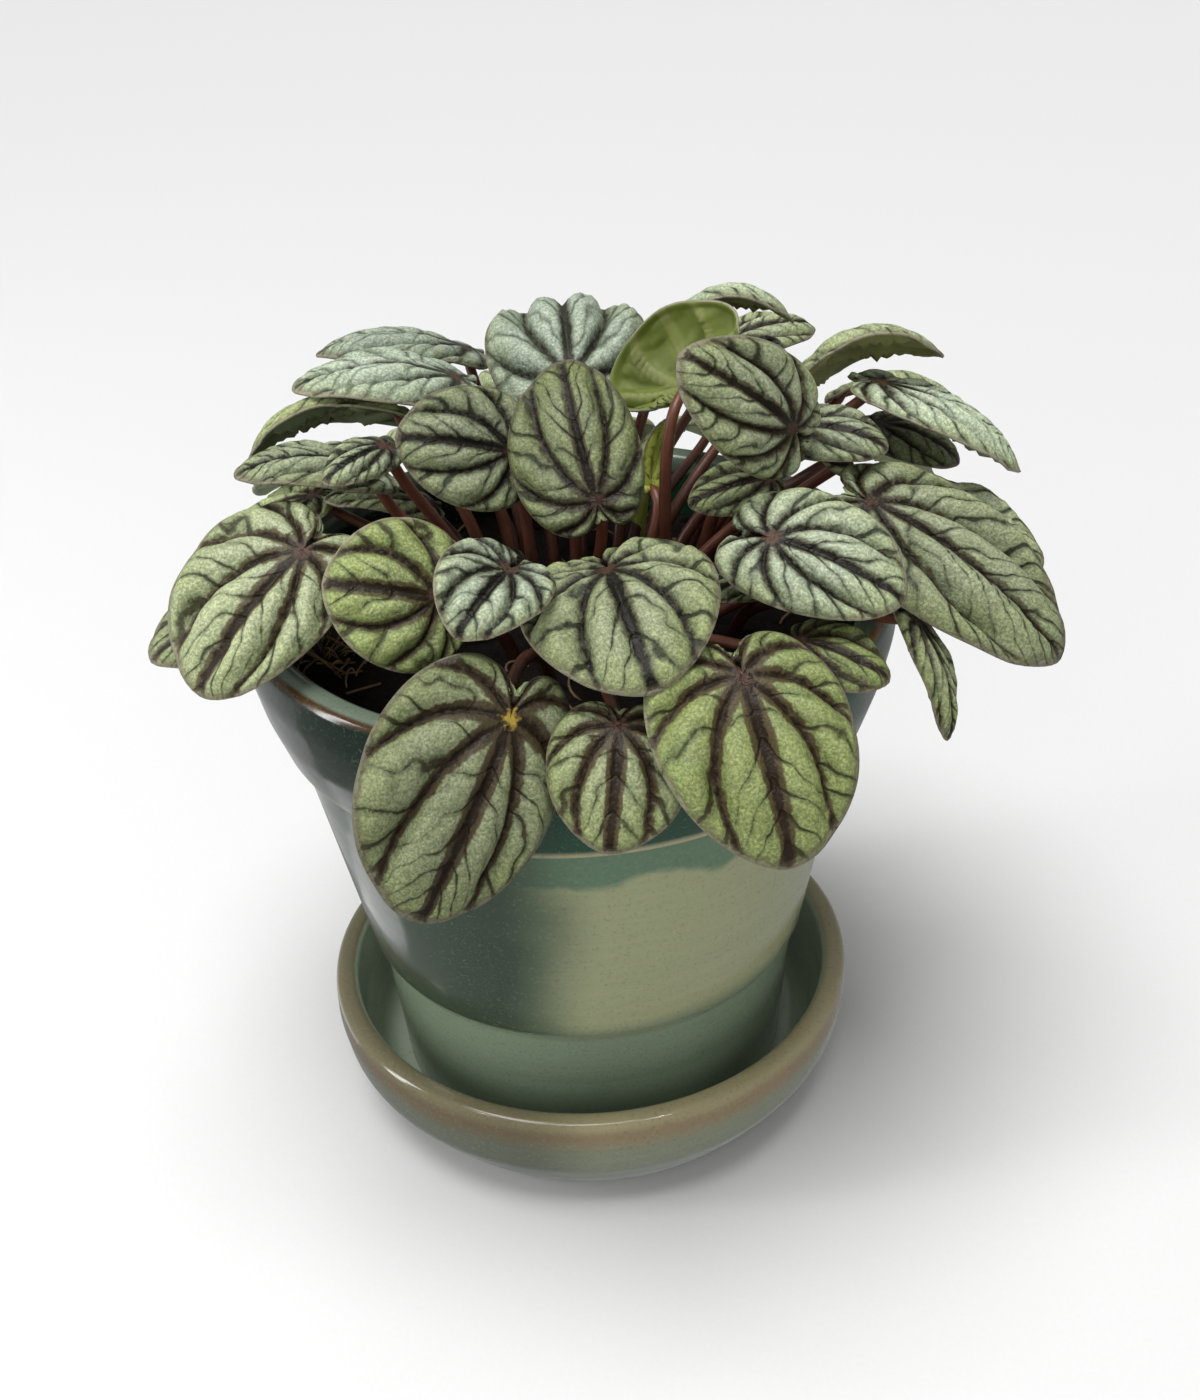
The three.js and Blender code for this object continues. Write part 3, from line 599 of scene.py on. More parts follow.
def add_blade(bm, leaf, settings, layers):
    """Adds a blade: a grid bent into a heart, quilted between its veins and given its thickness."""
    shape = (*leaf_frame(leaf), heart_half_width(leaf))
    # a small blade, or one behind, has fewer facets
    full = leaf["width"] >= 20 and not leaf["name"].startswith("leaf_back")
    spokes = settings.spokes if full else settings.spokes * 5 // 8
    rings = settings.rings if full else settings.rings * 5 // 8
    seed = random.Random(leaf["name"]).uniform(0, 100)
    spacing = 2 + 4.6 * leaf["width"] / 35
    step = settings.vein_step
    probe = 0.01  # half the angle over which the space between two veins is measured
    grid = bmesh.ops.create_grid(bm, x_segments=rings, y_segments=spokes, size=0.5)["verts"]
    share_of = layers[SHARE]
    for vert in grid:
        row = round((vert.co.x + 0.5) * rings)
        share = 1 if row == rings else 0.975 * (row / (rings - 1)) ** 0.9
        angle = 2 * vert.co.y * math.radians(SINUS_DEG)
        point = blade_point(leaf, shape, angle, share)
        reach = (point - Vector(leaf["at"])).length
        wander = 0.12 * share * noise.noise(Vector((1.6 * angle, 0.07 * reach, seed)))
        away = max(abs(angle), probe)
        turn = vein_phase(away + probe, share, step) - vein_phase(away - probe, share, step)
        drift = 0.9 * noise.noise(point * 0.09 + Vector((seed, 0, 0)))
        drift += 0.35 * noise.noise(point * 0.28 + Vector((0, seed, 0))) + seed
        phase = vein_phase(angle, share, step) + wander
        gap = max(reach, 0.1) * (2 * probe) / turn
        for layer, value in zip(layers, (phase, reach, gap, share, drift, spacing)):
            vert[layer] = value
        vert.co = point * MM
    bmesh.ops.remove_doubles(bm, verts=[v for v in grid if v[share_of] == 0], dist=1e-7)
    bm.normal_update()
    for vert in bm.verts:
        height = quilting(leaf, settings, [vert[layer] for layer in layers])
        height += 0.5 * smooth_step(0, 0.4, vert[share_of]) * noise.noise(vert.co / MM * 0.12)
        vert.co += vert.normal * height * MM
    bm.normal_update()
    whole = bm.faces[:] + bm.edges[:] + bm.verts[:]
    made = bmesh.ops.extrude_face_region(bm, geom=whole, use_keep_orig=True)
    for part in made["geom"]:
        if isinstance(part, bmesh.types.BMVert):
            part.co -= part.normal * settings.thickness * (1 - 0.55 * part[share_of] ** 8)
        elif isinstance(part, bmesh.types.BMFace):
            part.material_index = 1
    bmesh.ops.recalc_face_normals(bm, faces=bm.faces)


def sweep(bm, path, radii, sides):
    """Adds a round stem along a path in metres, by extruding one ring from point to point."""
    turn = Vector((0, 0, 1)).rotation_difference(path[1] - path[0])
    stand = Matrix.Translation(path[0]) @ turn.to_matrix().to_4x4()
    ring = bmesh.ops.create_circle(bm, segments=sides, radius=radii[0], matrix=stand)["verts"]
    first = list({edge for vert in ring for edge in vert.link_edges})
    edges = first
    made = []
    for i in range(1, len(path)):
        geom = bmesh.ops.extrude_edge_only(bm, edges=edges)["geom"]
        made += [f for f in geom if isinstance(f, bmesh.types.BMFace)]
        verts = [v for v in geom if isinstance(v, bmesh.types.BMVert)]
        edges = [e for e in geom if isinstance(e, bmesh.types.BMEdge) and all(v in verts for v in e.verts)]
        ahead = path[min(i + 1, len(path) - 1)] - path[i]
        behind = path[i] - path[i - 1]
        tangent = behind if i == len(path) - 1 else (ahead.normalized() + behind.normalized())
        bend = (turn @ Vector((0, 0, 1))).rotation_difference(tangent)
        move = Matrix.Translation(path[i]) @ bend.to_matrix().to_4x4()
        move = move @ Matrix.Scale(radii[i] / radii[i - 1], 4) @ Matrix.Translation(-path[i - 1])
        bmesh.ops.transform(bm, matrix=move, verts=verts)
        turn = bend @ turn
    caps = bmesh.ops.holes_fill(bm, edges=first + edges, sides=sides)["faces"]
    bmesh.ops.recalc_face_normals(bm, faces=made + caps)
    return made + caps


def stalk_path(leaf, steps):
    """Points in metres of a stalk: straight out of the mix, then over to the underside of its blade."""
    _, along, _, up = leaf_frame(leaf)
    at = Vector(leaf["at"])
    out = math.hypot(at.x, at.y)
    spread = (6 + 0.3 * out) / out
    x, y = leaf["foot"] or (at.x * spread, at.y * spread)
    foot = Vector((x, y, SOIL_Z - 5))
    reach = (at - foot).length
    top = at - up * 0.5
    leave = foot + Vector((0, 0, 0.5 * reach))
    arrive = top - up * 0.3 * reach - along * 0.08 * reach
    return [point * MM for point in interpolate_bezier(foot, leave, arrive, top, steps)]


def add_stalk(bm, leaf, layers):
    """Adds a leaf's stalk, a little thicker where it leaves the mix."""
    path = stalk_path(leaf, STALK_POINTS)
    count = len(path) - 1
    radii = [MM * (STALK_RADIUS + STALK_SWELL * (1 - i / count) ** 2) for i in range(count)]
    radii.append(MM * STALK_TOP_RADIUS)
    faces = sweep(bm, path, radii, 10)
    share_of = layers[SHARE]
    foot = path[0]
    for face in faces:
        face.material_index = 2
        for vert in face.verts:
            vert[share_of] = (vert.co - foot).length / (path[-1] - foot).length


def leaf_upper():
    """The upper face of a quilted leaf: satin cuticle, silver where air lies under the skin, dark veins."""
    material, node, feed = new_material(
        "leaf_upper_cuticle",
        {"IOR": 1.42, "Specular IOR Level": 0.3, "Subsurface Weight": 0.04, "Subsurface Scale": 0.002},
    )
    phase, reach, gap, share, drift, spacing = (
        node("Attribute", output="Fac", attribute_name=name) for name in VEIN_ATTRIBUTES
    )
    tone = node("SeparateColor", {0: node("Attribute", attribute_name="tone")}).node
    green, flush, star = tone.outputs[0], tone.outputs[1], tone.outputs[2]
    place = node("TexCoord", output="Object")
    # paler and darker patches 11 mm across, ragged edges of 2 mm, and the grain of the skin at 0.5 mm
    patches = node("TexNoise", {"Vector": place, "Scale": 90, "Detail": 3}, output=0)
    ragged = node("TexNoise", {"Vector": place, "Scale": 480, "Detail": 3, "Roughness": 0.65}, output=0)
    fine = node("TexNoise", {"Vector": place, "Scale": 1900, "Detail": 2, "Roughness": 0.7}, output=0)
    rough = node("Math", {0: ragged, 1: 0.5}, operation="SUBTRACT")
    # main veins: distance in mm to the nearest one, less its half width, with a ragged edge
    count = node("Math", {0: phase}, operation="ABSOLUTE")
    past = node("Math", {0: count, 1: 0, 2: 1}, operation="WRAP")
    aside = node("Math", {0: count, 1: 0.5}, operation="PINGPONG")
    clear = node("Math", {0: aside, 1: gap}, operation="MULTIPLY")
    inner = node("Math", {0: 1, 1: share}, operation="SUBTRACT")
    middle = node("MapRange", {0: count, 1: 0.55, 2: 0.3, 3: 1, 4: 2})
    half = node("Math", {0: inner, 1: 0.42, 2: 0.25}, operation="MULTIPLY_ADD")
    half = node("Math", {0: half, 1: middle}, operation="MULTIPLY")
    inside = node("Math", {0: rough, 1: 2.1, 2: clear}, operation="MULTIPLY_ADD")
    inside = node("Math", {0: inside, 1: half}, operation="SUBTRACT")
    feather = node("Math", {0: fine, 1: 0.5, 2: inside}, operation="MULTIPLY_ADD")
    vein = node("MapRange", {0: feather, 1: 0.6, 2: 0.05}, interpolation_type="SMOOTHSTEP")
    strength = node("MapRange", {0: green, 1: 0, 2: 0.1, 3: 0.75, 4: 0.97})
    earthy = node("MapRange", {0: flush, 1: 0.2, 2: 0.7})
    vein = node("Math", {0: vein, 1: strength}, operation="MULTIPLY")
    # side veins: they leave a main vein on its outer side, slant forward and fade
    across = node("Math", {0: past, 1: gap}, operation="MULTIPLY")
    rung = node("Math", {0: across, 1: -SIDE_VEIN_SLANT, 2: reach}, operation="MULTIPLY_ADD")
    rung = node("Math", {0: rung, 1: spacing}, operation="DIVIDE")
    rung = node("Math", {0: rung, 1: drift}, operation="ADD")
    side = node("Math", {0: rung, 1: 0.5}, operation="PINGPONG")
    side = node("Math", {0: side, 1: spacing}, operation="MULTIPLY")
    side = node("Math", {0: rough, 1: 1.5, 2: side}, operation="MULTIPLY_ADD")
    start = node("MapRange", {0: past, 1: 0.05, 2: 0.8, 3: 0.42, 4: -0.3})
    outer = node("MapRange", {0: share, 1: 0.55, 2: 0.9, 3: 0, 4: 0.12})
    thread = node("Math", {0: start, 1: outer}, operation="ADD")
    side = node("Math", {0: side, 1: thread}, operation="SUBTRACT")
    line = node("MapRange", {0: side, 1: 0.38, 2: -0.2, 4: 0.85}, interpolation_type="SMOOTHSTEP")
    faint = node("MapRange", {0: green, 1: 0, 2: 0.1, 3: 0.4, 4: 0.97})
    line = node("Math", {0: line, 1: faint}, operation="MULTIPLY")
    # painted shade in the crease along each side vein
    painted_shade = node("MapRange", {0: side, 1: 1.4, 2: 0, 4: 0.6}, interpolation_type="SMOOTHSTEP")
    # pebbled cells between the finest veins, 2 to 3 mm
    swirl = node("TexNoise", {"Vector": place, "Scale": 250}, output=1)
    stirred = node("Mix", {0: 0.006, 4: place, 5: swirl}, data_type="VECTOR")
    cells = node("TexVoronoi", {"Vector": stirred, "Scale": 430}, output=0, feature="DISTANCE_TO_EDGE")
    net = node("MapRange", {0: cells, 1: 0.12, 2: 0.0, 4: 0.24}, interpolation_type="SMOOTHSTEP")
    # silver panels, greener where the leaf is fresh and towards the margin
    warm = node("Mix", {0: patches, 6: linear("949c7a"), 7: linear("bfc3a2")}, data_type="RGBA")
    cool = node("Mix", {0: patches, 6: linear("95a48f"), 7: linear("c6d0bc")}, data_type="RGBA")
    coolness = node("MapRange", {0: green, 1: 0.3, 2: 0.05})
    silver = node("Mix", {0: coolness, 6: warm, 7: cool}, data_type="RGBA")
    fresh = node("Mix", {0: patches, 6: linear("76864a"), 7: linear("a3ad70")}, data_type="RGBA")
    rim = node("MapRange", {0: share, 1: 0.6, 2: 1, 3: -0.45, 4: -0.05})
    green_share = node("Math", {0: patches, 1: 0.9, 2: green}, operation="MULTIPLY_ADD")
    green_share = node("Math", {0: green_share, 1: rim}, operation="ADD", use_clamp=True)
    colour = node("Mix", {0: green_share, 6: silver, 7: fresh}, data_type="RGBA")
    # painted shade in the valleys: darker toward the main veins and in the creases of the side veins; the net
    # between the pebbled cells is the finest veins
    near = node("MapRange", {0: inside, 1: 2, 2: 0, 4: 0.75}, interpolation_type="SMOOTHSTEP")
    near = node("Math", {0: near, 1: painted_shade}, operation="MAXIMUM")
    near = node("Math", {0: near, 1: net}, operation="MAXIMUM")
    dim = node("Mix", {0: earthy, 6: linear("2c3924"), 7: linear("4a5834")}, data_type="RGBA")
    colour = node("Mix", {0: near, 6: colour, 7: dim}, data_type="RGBA")
    speckle = node("MapRange", {0: fine, 1: 0.4, 2: 0.66, 3: 0.7, 4: 1.3})
    colour = node("Mix", {0: 1, 6: colour, 7: speckle}, data_type="RGBA", blend_type="MULTIPLY")
    # brown flush that spreads from the veins and along the margin
    broad = node("Math", {0: inner, 1: 0.8, 2: 0.3}, operation="MULTIPLY_ADD")
    broad = node("Math", {0: broad, 1: middle}, operation="MULTIPLY")
    broad = node("Math", {0: broad, 1: flush}, operation="MULTIPLY")
    broad = node("Math", {0: broad, 1: 1.5, 2: 0.4}, operation="MULTIPLY_ADD")
    halo = node("Math", {0: inside, 1: broad}, operation="DIVIDE")
    halo = node("MapRange", {0: halo, 1: 1.05, 2: 0.6, 4: 0.88}, interpolation_type="SMOOTHSTEP")
    browned = node("MapRange", {0: flush, 1: 0, 2: 0.6, 3: 0.25, 4: 1})
    halo = node("Math", {0: halo, 1: browned}, operation="MULTIPLY")
    colour = node("Mix", {0: halo, 6: colour, 7: linear("4c3c27")}, data_type="RGBA")
    # the veins' own dark brown, made near black with painted shade of the grooves that they lie in
    thin = node("Mix", {0: earthy, 6: linear("201e14"), 7: linear("382b1b")}, data_type="RGBA")
    thick = node("Mix", {0: earthy, 6: linear("15130c"), 7: linear("2c2115")}, data_type="RGBA")
    colour = node("Mix", {0: line, 6: colour, 7: thin}, data_type="RGBA")
    colour = node("Mix", {0: vein, 6: colour, 7: thick}, data_type="RGBA")
    # a dull edging, and the thin pale margin itself
    border = node("Math", {0: rough, 1: 0.1, 2: share}, operation="MULTIPLY_ADD")
    edging = node("MapRange", {0: border, 1: 0.93, 2: 0.975, 4: 0.6}, interpolation_type="SMOOTHSTEP")
    colour = node("Mix", {0: edging, 6: colour, 7: linear("5f5643")}, data_type="RGBA")
    border = node("MapRange", {0: border, 1: 0.975, 2: 0.99, 4: 0.6}, interpolation_type="SMOOTHSTEP")
    colour = node("Mix", {0: border, 6: colour, 7: linear("93907c")}, data_type="RGBA")
    # the heart, where the stalk meets the blade
    pole = node("Math", {0: rough, 1: 5, 2: reach}, operation="MULTIPLY_ADD")
    pole = node("MapRange", {0: pole, 1: 2, 2: 0.9}, interpolation_type="SMOOTHSTEP")
    heart = node("Mix", {0: star, 6: linear("4a352a"), 7: linear("c2a646")}, data_type="RGBA")
    colour = node("Mix", {0: pole, 6: colour, 7: heart}, data_type="RGBA")
    # painted shade and light for each leaf as a whole: its colour is multiplied by its shade, below 1 for a
    # leaf in shadow
    shade = node("Attribute", output="Fac", attribute_name="shade")
    feed("Base Color", node("Mix", {0: 1, 6: colour, 7: shade}, data_type="RGBA", blend_type="MULTIPLY"))
    feed("Roughness", node("MapRange", {0: patches, 1: 0.3, 2: 0.7, 3: 0.4, 4: 0.54}))
    # skin pimpled at about 0.5 mm, with the cells swollen and the side veins pressed in
    swell = node("MapRange", {0: cells, 1: 0, 2: 0.35, 4: 0.08}, interpolation_type="SMOOTHSTEP")
    grain = node("Math", {0: fine, 1: 0.18, 2: swell}, operation="MULTIPLY_ADD")
    relief = node("Math", {0: line, 1: -0.25, 2: grain}, operation="MULTIPLY_ADD")
    feed("Normal", node("Bump", {"Height": relief, "Strength": 0.9, "Distance": MM}))
    return material


def leaf_under():
    """The underside of a leaf: plain and matt, blotched 7 mm across, with the main veins standing out."""
    material, node, feed = new_material("leaf_underside_matt", {"Roughness": 0.55, "IOR": 1.4})
    phase = node("Attribute", output="Fac", attribute_name="phase")
    gap = node("Attribute", output="Fac", attribute_name="gap")
    under = node("Attribute", output="Color", attribute_name="under")
    place = node("TexCoord", output="Object")
    patches = node("TexNoise", {"Vector": place, "Scale": 150, "Detail": 3}, output=0)
    shade = node("MapRange", {0: patches, 1: 0.3, 2: 0.7, 3: 0.78, 4: 1.18})
    colour = node("Mix", {0: 1, 6: under, 7: shade}, data_type="RGBA", blend_type="MULTIPLY")
    part = node("Math", {0: phase, 1: -0.5, 2: 0.5}, operation="WRAP")
    aside = node("Math", {0: part}, operation="ABSOLUTE")
    clear = node("Math", {0: aside, 1: gap}, operation="MULTIPLY")
    rib = node("MapRange", {0: clear, 1: 0.9, 2: 0.3, 4: 0.12}, interpolation_type="SMOOTHSTEP")
    colour = node("Mix", {0: rib, 6: colour, 7: linear("b3b07c")}, data_type="RGBA")
    feed("Base Color", colour)
    relief = node("Math", {0: rib, 1: 0.5, 2: patches}, operation="MULTIPLY_ADD")
    feed("Normal", node("Bump", {"Height": relief, "Strength": 0.6, "Distance": 0.8 * MM}))
    return material


def stalk_skin():
    """Fleshy leaf stalk: translucent red-brown skin, blotched 4 mm across, paler towards the blade and
    darkened towards the mix with painted shade.
    """
    material, node, feed = new_material(
        "leaf_stalk_skin",
        {"Roughness": 0.35, "IOR": 1.42, "Subsurface Weight": 0.15, "Subsurface Scale": 0.002},
    )
    place = node("TexCoord", output="Object")
    share = node("Attribute", output="Fac", attribute_name="share")
    blotches = node("TexNoise", {"Vector": place, "Scale": 260, "Detail": 3}, output=0)
    # painted shade: each stalk is darker towards its foot, deep among the others under the leaves
    tint = node("Math", {0: blotches, 1: 0.8, 2: share}, operation="MULTIPLY_ADD")
    tint = node("MapRange", {0: tint, 1: 0.3, 2: 1.3})
    colour = node("Mix", {0: tint, 6: linear("22130e"), 7: linear("60392a")}, data_type="RGBA")
    feed("Base Color", colour)
    feed("Normal", node("Bump", {"Height": blotches, "Strength": 0.3, "Distance": 0.5 * MM}))
    return material


def shoot_skin():
    """A leaf that is still rolled up: yellow-green, smooth and a little translucent."""
    material, node, feed = new_material(
        "rolled_leaf_skin",
        {"Roughness": 0.4, "IOR": 1.42, "Subsurface Weight": 0.2, "Subsurface Scale": 0.002},
    )
    place = node("TexCoord", output="Object")
    tint = node("TexNoise", {"Vector": place, "Scale": 250, "Detail": 2}, output=0)
    feed("Base Color", node("Mix", {0: tint, 6: linear("8c9a3c"), 7: linear("bcc468")}, data_type="RGBA"))
    return material


# ---------------------------------------------------------------- potting mix


def mix_peat():
    """Damp peat, matt and in crumbs of 2 mm and finer: its dark brown is made nearly black with painted
    shade.
    """
    material, node, feed = new_material("potting_mix_peat", {"Roughness": 0.95, "Specular IOR Level": 0.2})
    place = node("TexCoord", output="Object")
    crumbs = node("TexNoise", {"Vector": place, "Scale": 500, "Detail": 5, "Roughness": 0.7}, output=0)
    # painted shade: the mix's colours are nearly black, for the shade that the leaves cast on it
    colour = node("Mix", {0: crumbs, 6: linear("0b0907"), 7: linear("1f1812")}, data_type="RGBA")
    feed("Base Color", colour)
    feed("Normal", node("Bump", {"Height": crumbs, "Strength": 1, "Distance": 1.5 * MM}))
    return material


def root_fibre():
    """Dry root and coir fibre: straw brown and matt, its tone changing every 5 mm."""
    material, node, feed = new_material("dry_root_fibre", {"Roughness": 0.8})
    place = node("TexCoord", output="Object")
    tint = node("TexNoise", {"Vector": place, "Scale": 200, "Detail": 2}, output=0)
    feed("Base Color", node("Mix", {0: tint, 6: linear("4a3526"), 7: linear("8a6f50")}, data_type="RGBA"))
    return material


def crown_bark():
    """The plant's short woody stem: rough brown bark with old leaf scars of 3 mm."""
    material, node, feed = new_material("crown_bark", {"Roughness": 0.8})
    place = node("TexCoord", output="Object")
    scars = node("TexNoise", {"Vector": place, "Scale": 350, "Detail": 4}, output=0)
    feed("Base Color", node("Mix", {0: scars, 6: linear("3c281c"), 7: linear("7a5540")}, data_type="RGBA"))
    feed("Normal", node("Bump", {"Height": scars, "Strength": 0.8, "Distance": MM}))
    return material


# ---------------------------------------------------------------- operators


class PEPEROMIA_OT_pot(Operator):
    """Turn the pot's wall and glaze it"""

    bl_idname = "peperomia.pot"
    bl_label = "Pot"

    def execute(self, context):
        settings = context.scene.peperomia.pot
        # dark glaze on the collar breaks to bronze on the lip, and to sage and khaki down the wall
        glaze = stoneware_glaze(
            "stoneware_pot_glaze",
            "707e69",
            [
                # the step above the foot, then khaki, and the sage that drips from the collar
                (SHOULDER_Z - 2, 3, 1, 0, linear("747c64")),
                (SHOULDER_Z + 3, 4, 2, 0, linear("8c906e")),
                (COLLAR_FOOT_Z - 11, 3, 18, 1, (*settings.wall_colour, 1)),
                # the collar's thinly glazed lower edge, the collar and the bronze lip
                (COLLAR_FOOT_Z - 0.5, 1, 0, 0, linear("8f8c6e")),
                (COLLAR_FOOT_Z + 1.6, 1.6, 0.6, 0, (*settings.collar_colour, 1)),
                (LIP_Z - 1.3, 0.8, 0.3, 0, linear("6e4f2c")),
            ],
            (LIP_RADIUS + 0.2, LIP_Z - 3.5, linear("5a6558")),
            # painted shade: the left of the wall above the shoulder is darkened by 0.74
            (0.74, SHOULDER_Z),
        )
        bm = spun(pot_outline(), settings.steps, closed=True)
        new_piece("pot_glazed", bm, [glaze], "pot")
        return {"FINISHED"}


class PEPEROMIA_OT_saucer(Operator):
    """Turn the saucer and glaze it"""

    bl_idname = "peperomia.saucer"
    bl_label = "Saucer"

    def execute(self, context):
        settings = context.scene.peperomia.pot
        # grey-green below, rust under the rim where the glaze runs thin, and khaki on the rim
        glaze = stoneware_glaze(
            "stoneware_saucer_glaze",
            "5f6858",
            [
                (12, 12, 3, 0, linear("767b68")),
                (SAUCER_HEIGHT - 6, 6, 3, 0, linear("7f6f54")),
                (SAUCER_HEIGHT - 2, 3, 1, 0, linear("8d8566")),
            ],
            # painted light: the inside of the saucer is made paler than its glaze, standing in for light that
            # reaches down into it
            (SAUCER_RIM_RADIUS - 4.6, SAUCER_FLOOR - 1, linear("a3af9b")),
            # painted shade: the left of the saucer is darkened by 0.5
            (0.5, 0),
        )
        bm = spun(saucer_outline(), settings.steps, closed=False)
        new_piece("saucer_glazed", bm, [glaze], "saucer")
        return {"FINISHED"}


class PEPEROMIA_OT_mix(Operator):
    """Fill the pot with potting mix, with its crumbs and roots"""

    bl_idname = "peperomia.mix"
    bl_label = "Potting mix"

    def execute(self, context):
        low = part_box("potting_mix")[0].z / MM
        top = SOIL_RADIUS - 0.3
        rows = 40
        outline = [
            Vector((top * k / rows, SOIL_Z + SOIL_CROWN * (1 - (k / rows) ** 2))) for k in range(rows + 1)
        ]
        # down along the inside of the pot's wall
        outline += [
            Vector((BODY_TOP_RADIUS - 6, COLLAR_FOOT_Z)),
            Vector((SHOULDER_RADIUS - 6, SHOULDER_Z)),
            Vector((FOOT_RADIUS - 6.5, low)),
            Vector((0, low)),
        ]
        bm = spun(outline, 96, closed=False)
        for vert in bm.verts:
            if vert.co.z > (SOIL_Z - 1) * MM:
                rough = noise.noise(vert.co / MM * 0.35) + 0.6 * noise.noise(vert.co / MM * 0.9)
                vert.co.z += rough * MM
        new_piece("potting_mix_top", bm, [mix_peat()], "potting_mix")

        dice = random.Random(7)
        bm = bmesh.new()
        for _ in range(CRUMBS):
            out = SOIL_RADIUS * math.sqrt(dice.random()) * 0.97
            turn = dice.uniform(0, math.tau)
            height = SOIL_Z + SOIL_CROWN * (1 - out / SOIL_RADIUS)
            place = Vector((out * math.cos(turn), out * math.sin(turn), height))
            size = dice.uniform(*CRUMB_RADIUS)
            lie = Matrix.Rotation(dice.uniform(0, math.tau), 4, "Z")
            lie = lie @ Matrix.Rotation(dice.uniform(-1, 1), 4, "X")
            squash = Matrix.Diagonal((1, dice.uniform(0.5, 0.9), dice.uniform(0.35, 0.8), 1))
            matrix = Matrix.Translation(place * MM) @ lie @ squash
            bmesh.ops.create_icosphere(bm, subdivisions=1, radius=size * MM, matrix=matrix)
        new_piece("mix_crumbs", bm, [mix_peat()])

        bm = bmesh.new()
        for _ in range(FIBRES):
            turn = dice.uniform(0, math.tau)
            out = dice.uniform(0.35, 0.93) * SOIL_RADIUS
            start = Vector((out * math.cos(turn), out * math.sin(turn), SOIL_Z + dice.uniform(0.5, 1.5)))
            way = Vector((dice.uniform(-1, 1), dice.uniform(-1, 1), 0)).normalized()
            way *= dice.uniform(*FIBRE_LENGTH)
            end = start + way
            # one that would run into the wall is turned round
            if math.hypot(end.x, end.y) > SOIL_RADIUS - 2:
                end = start - way
            lift = Vector((dice.uniform(-4, 4), dice.uniform(-4, 4), dice.uniform(1, 4)))
            points = interpolate_bezier(start, start + lift, end + lift * 0.5, end, FIBRE_POINTS)
            sweep(bm, [p * MM for p in points], [FIBRE_RADIUS * MM] * FIBRE_POINTS, 5)
        # a tuft of fine roots at the left, and those that lie over the lip beside it
        for _ in range(TUFT_FIBRES):
            start = Vector((dice.uniform(*TUFT_X), dice.uniform(*TUFT_Y), SOIL_Z + dice.uniform(0.5, 3)))
            way = Vector((dice.uniform(-1, 1), dice.uniform(-1, 1), dice.uniform(-0.1, 0.5))).normalized()
            end = start + way * dice.uniform(*TUFT_LENGTH)
            if math.hypot(end.x, end.y) > SOIL_RADIUS - 1:
                end = start - way * 4
            bend = Vector((dice.uniform(-3, 3), dice.uniform(-3, 3), dice.uniform(0, 4)))
            points = interpolate_bezier(start, start + bend, end + bend, end, FIBRE_POINTS)
            sweep(bm, [p * MM for p in points], [TUFT_RADIUS * MM] * FIBRE_POINTS, 5)
        for path, radius in ROOTS_OVER_LIP:
            points = interpolate_bezier(*(Vector(p) for p in path), CURVE_POINTS)
            radii = [radius * MM * (1 - 0.04 * k) for k in range(CURVE_POINTS)]
            sweep(bm, [p * MM for p in points], radii, 6)
        new_piece("mix_fibres", bm, [root_fibre()])
        return {"FINISHED"}


class PEPEROMIA_OT_crown(Operator):
    """Model the short stem that the stalks crowd round"""

    bl_idname = "peperomia.crown"
    bl_label = "Crown"

    def execute(self, context):
        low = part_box("crown")[0].z / MM
        outline = rounded_outline(
            [
                (0, low, 0),
                (CROWN_RADIUS - 0.8, low, 0.5),
                (CROWN_RADIUS - 0.3, SOIL_Z + 3, 3),
                (CROWN_RADIUS - 2, CROWN_TOP_Z, 2),
                (0, CROWN_TOP_Z, 0),
            ],
            closed=False,
        )
        bm = spun(outline, 24, closed=False)
        bmesh.ops.subdivide_edges(bm, edges=bm.edges, cuts=1, use_grid_fill=True)
        for vert in bm.verts:
            vert.co.xy *= 0.93 + 0.07 * noise.noise(vert.co / MM * 0.5)
        new_piece("crown_stem", bm, [crown_bark()], "crown")
        return {"FINISHED"}


class PEPEROMIA_OT_leaves(Operator):
    """Grow the leaves, each a quilted blade on its stalk"""

    bl_idname = "peperomia.leaves"
    bl_label = "Leaves"

    def execute(self, context):
        settings = context.scene.peperomia.leaf
        materials = [leaf_upper(), leaf_under(), stalk_skin()]
        for row in LEAVES:
            leaf = {**LEAF_DEFAULTS, **row}
            bm = bmesh.new()
            layers = [bm.verts.layers.float.new(name) for name in VEIN_ATTRIBUTES]
            tone = bm.verts.layers.float_color.new("tone")
            under = bm.verts.layers.float_color.new("under")
            shade = bm.verts.layers.float.new("shade")
            add_blade(bm, leaf, settings, layers)
            add_stalk(bm, leaf, layers)
            for vert in bm.verts:
                vert[tone] = (leaf["green"], leaf["flush"], leaf["star"], 1)
                vert[under] = linear(UNDERSIDES[leaf["under"]])
                vert[shade] = leaf["shade"]
            new_piece(leaf["name"] + "_quilted", bm, materials, leaf["name"])
        return {"FINISHED"}


class PEPEROMIA_OT_shoots(Operator):
    """Grow the rolled young leaves that rise out of the mix"""

    bl_idname = "peperomia.shoots"
    bl_label = "Young shoots"

    def execute(self, context):
        bm = bmesh.new()
        for path, radius in SHOOTS:
            points = interpolate_bezier(*(Vector(p) for p in path), CURVE_POINTS)
            # fuller in the middle than at either end
            ways = [0.12 + 0.82 * k / (CURVE_POINTS - 1) for k in range(CURVE_POINTS)]
            radii = [radius * MM * (0.35 + 0.65 * math.sin(math.pi * way)) for way in ways]
            sweep(bm, [p * MM for p in points], radii, 12)
        new_piece("young_shoots", bm, [shoot_skin()])
        return {"FINISHED"}


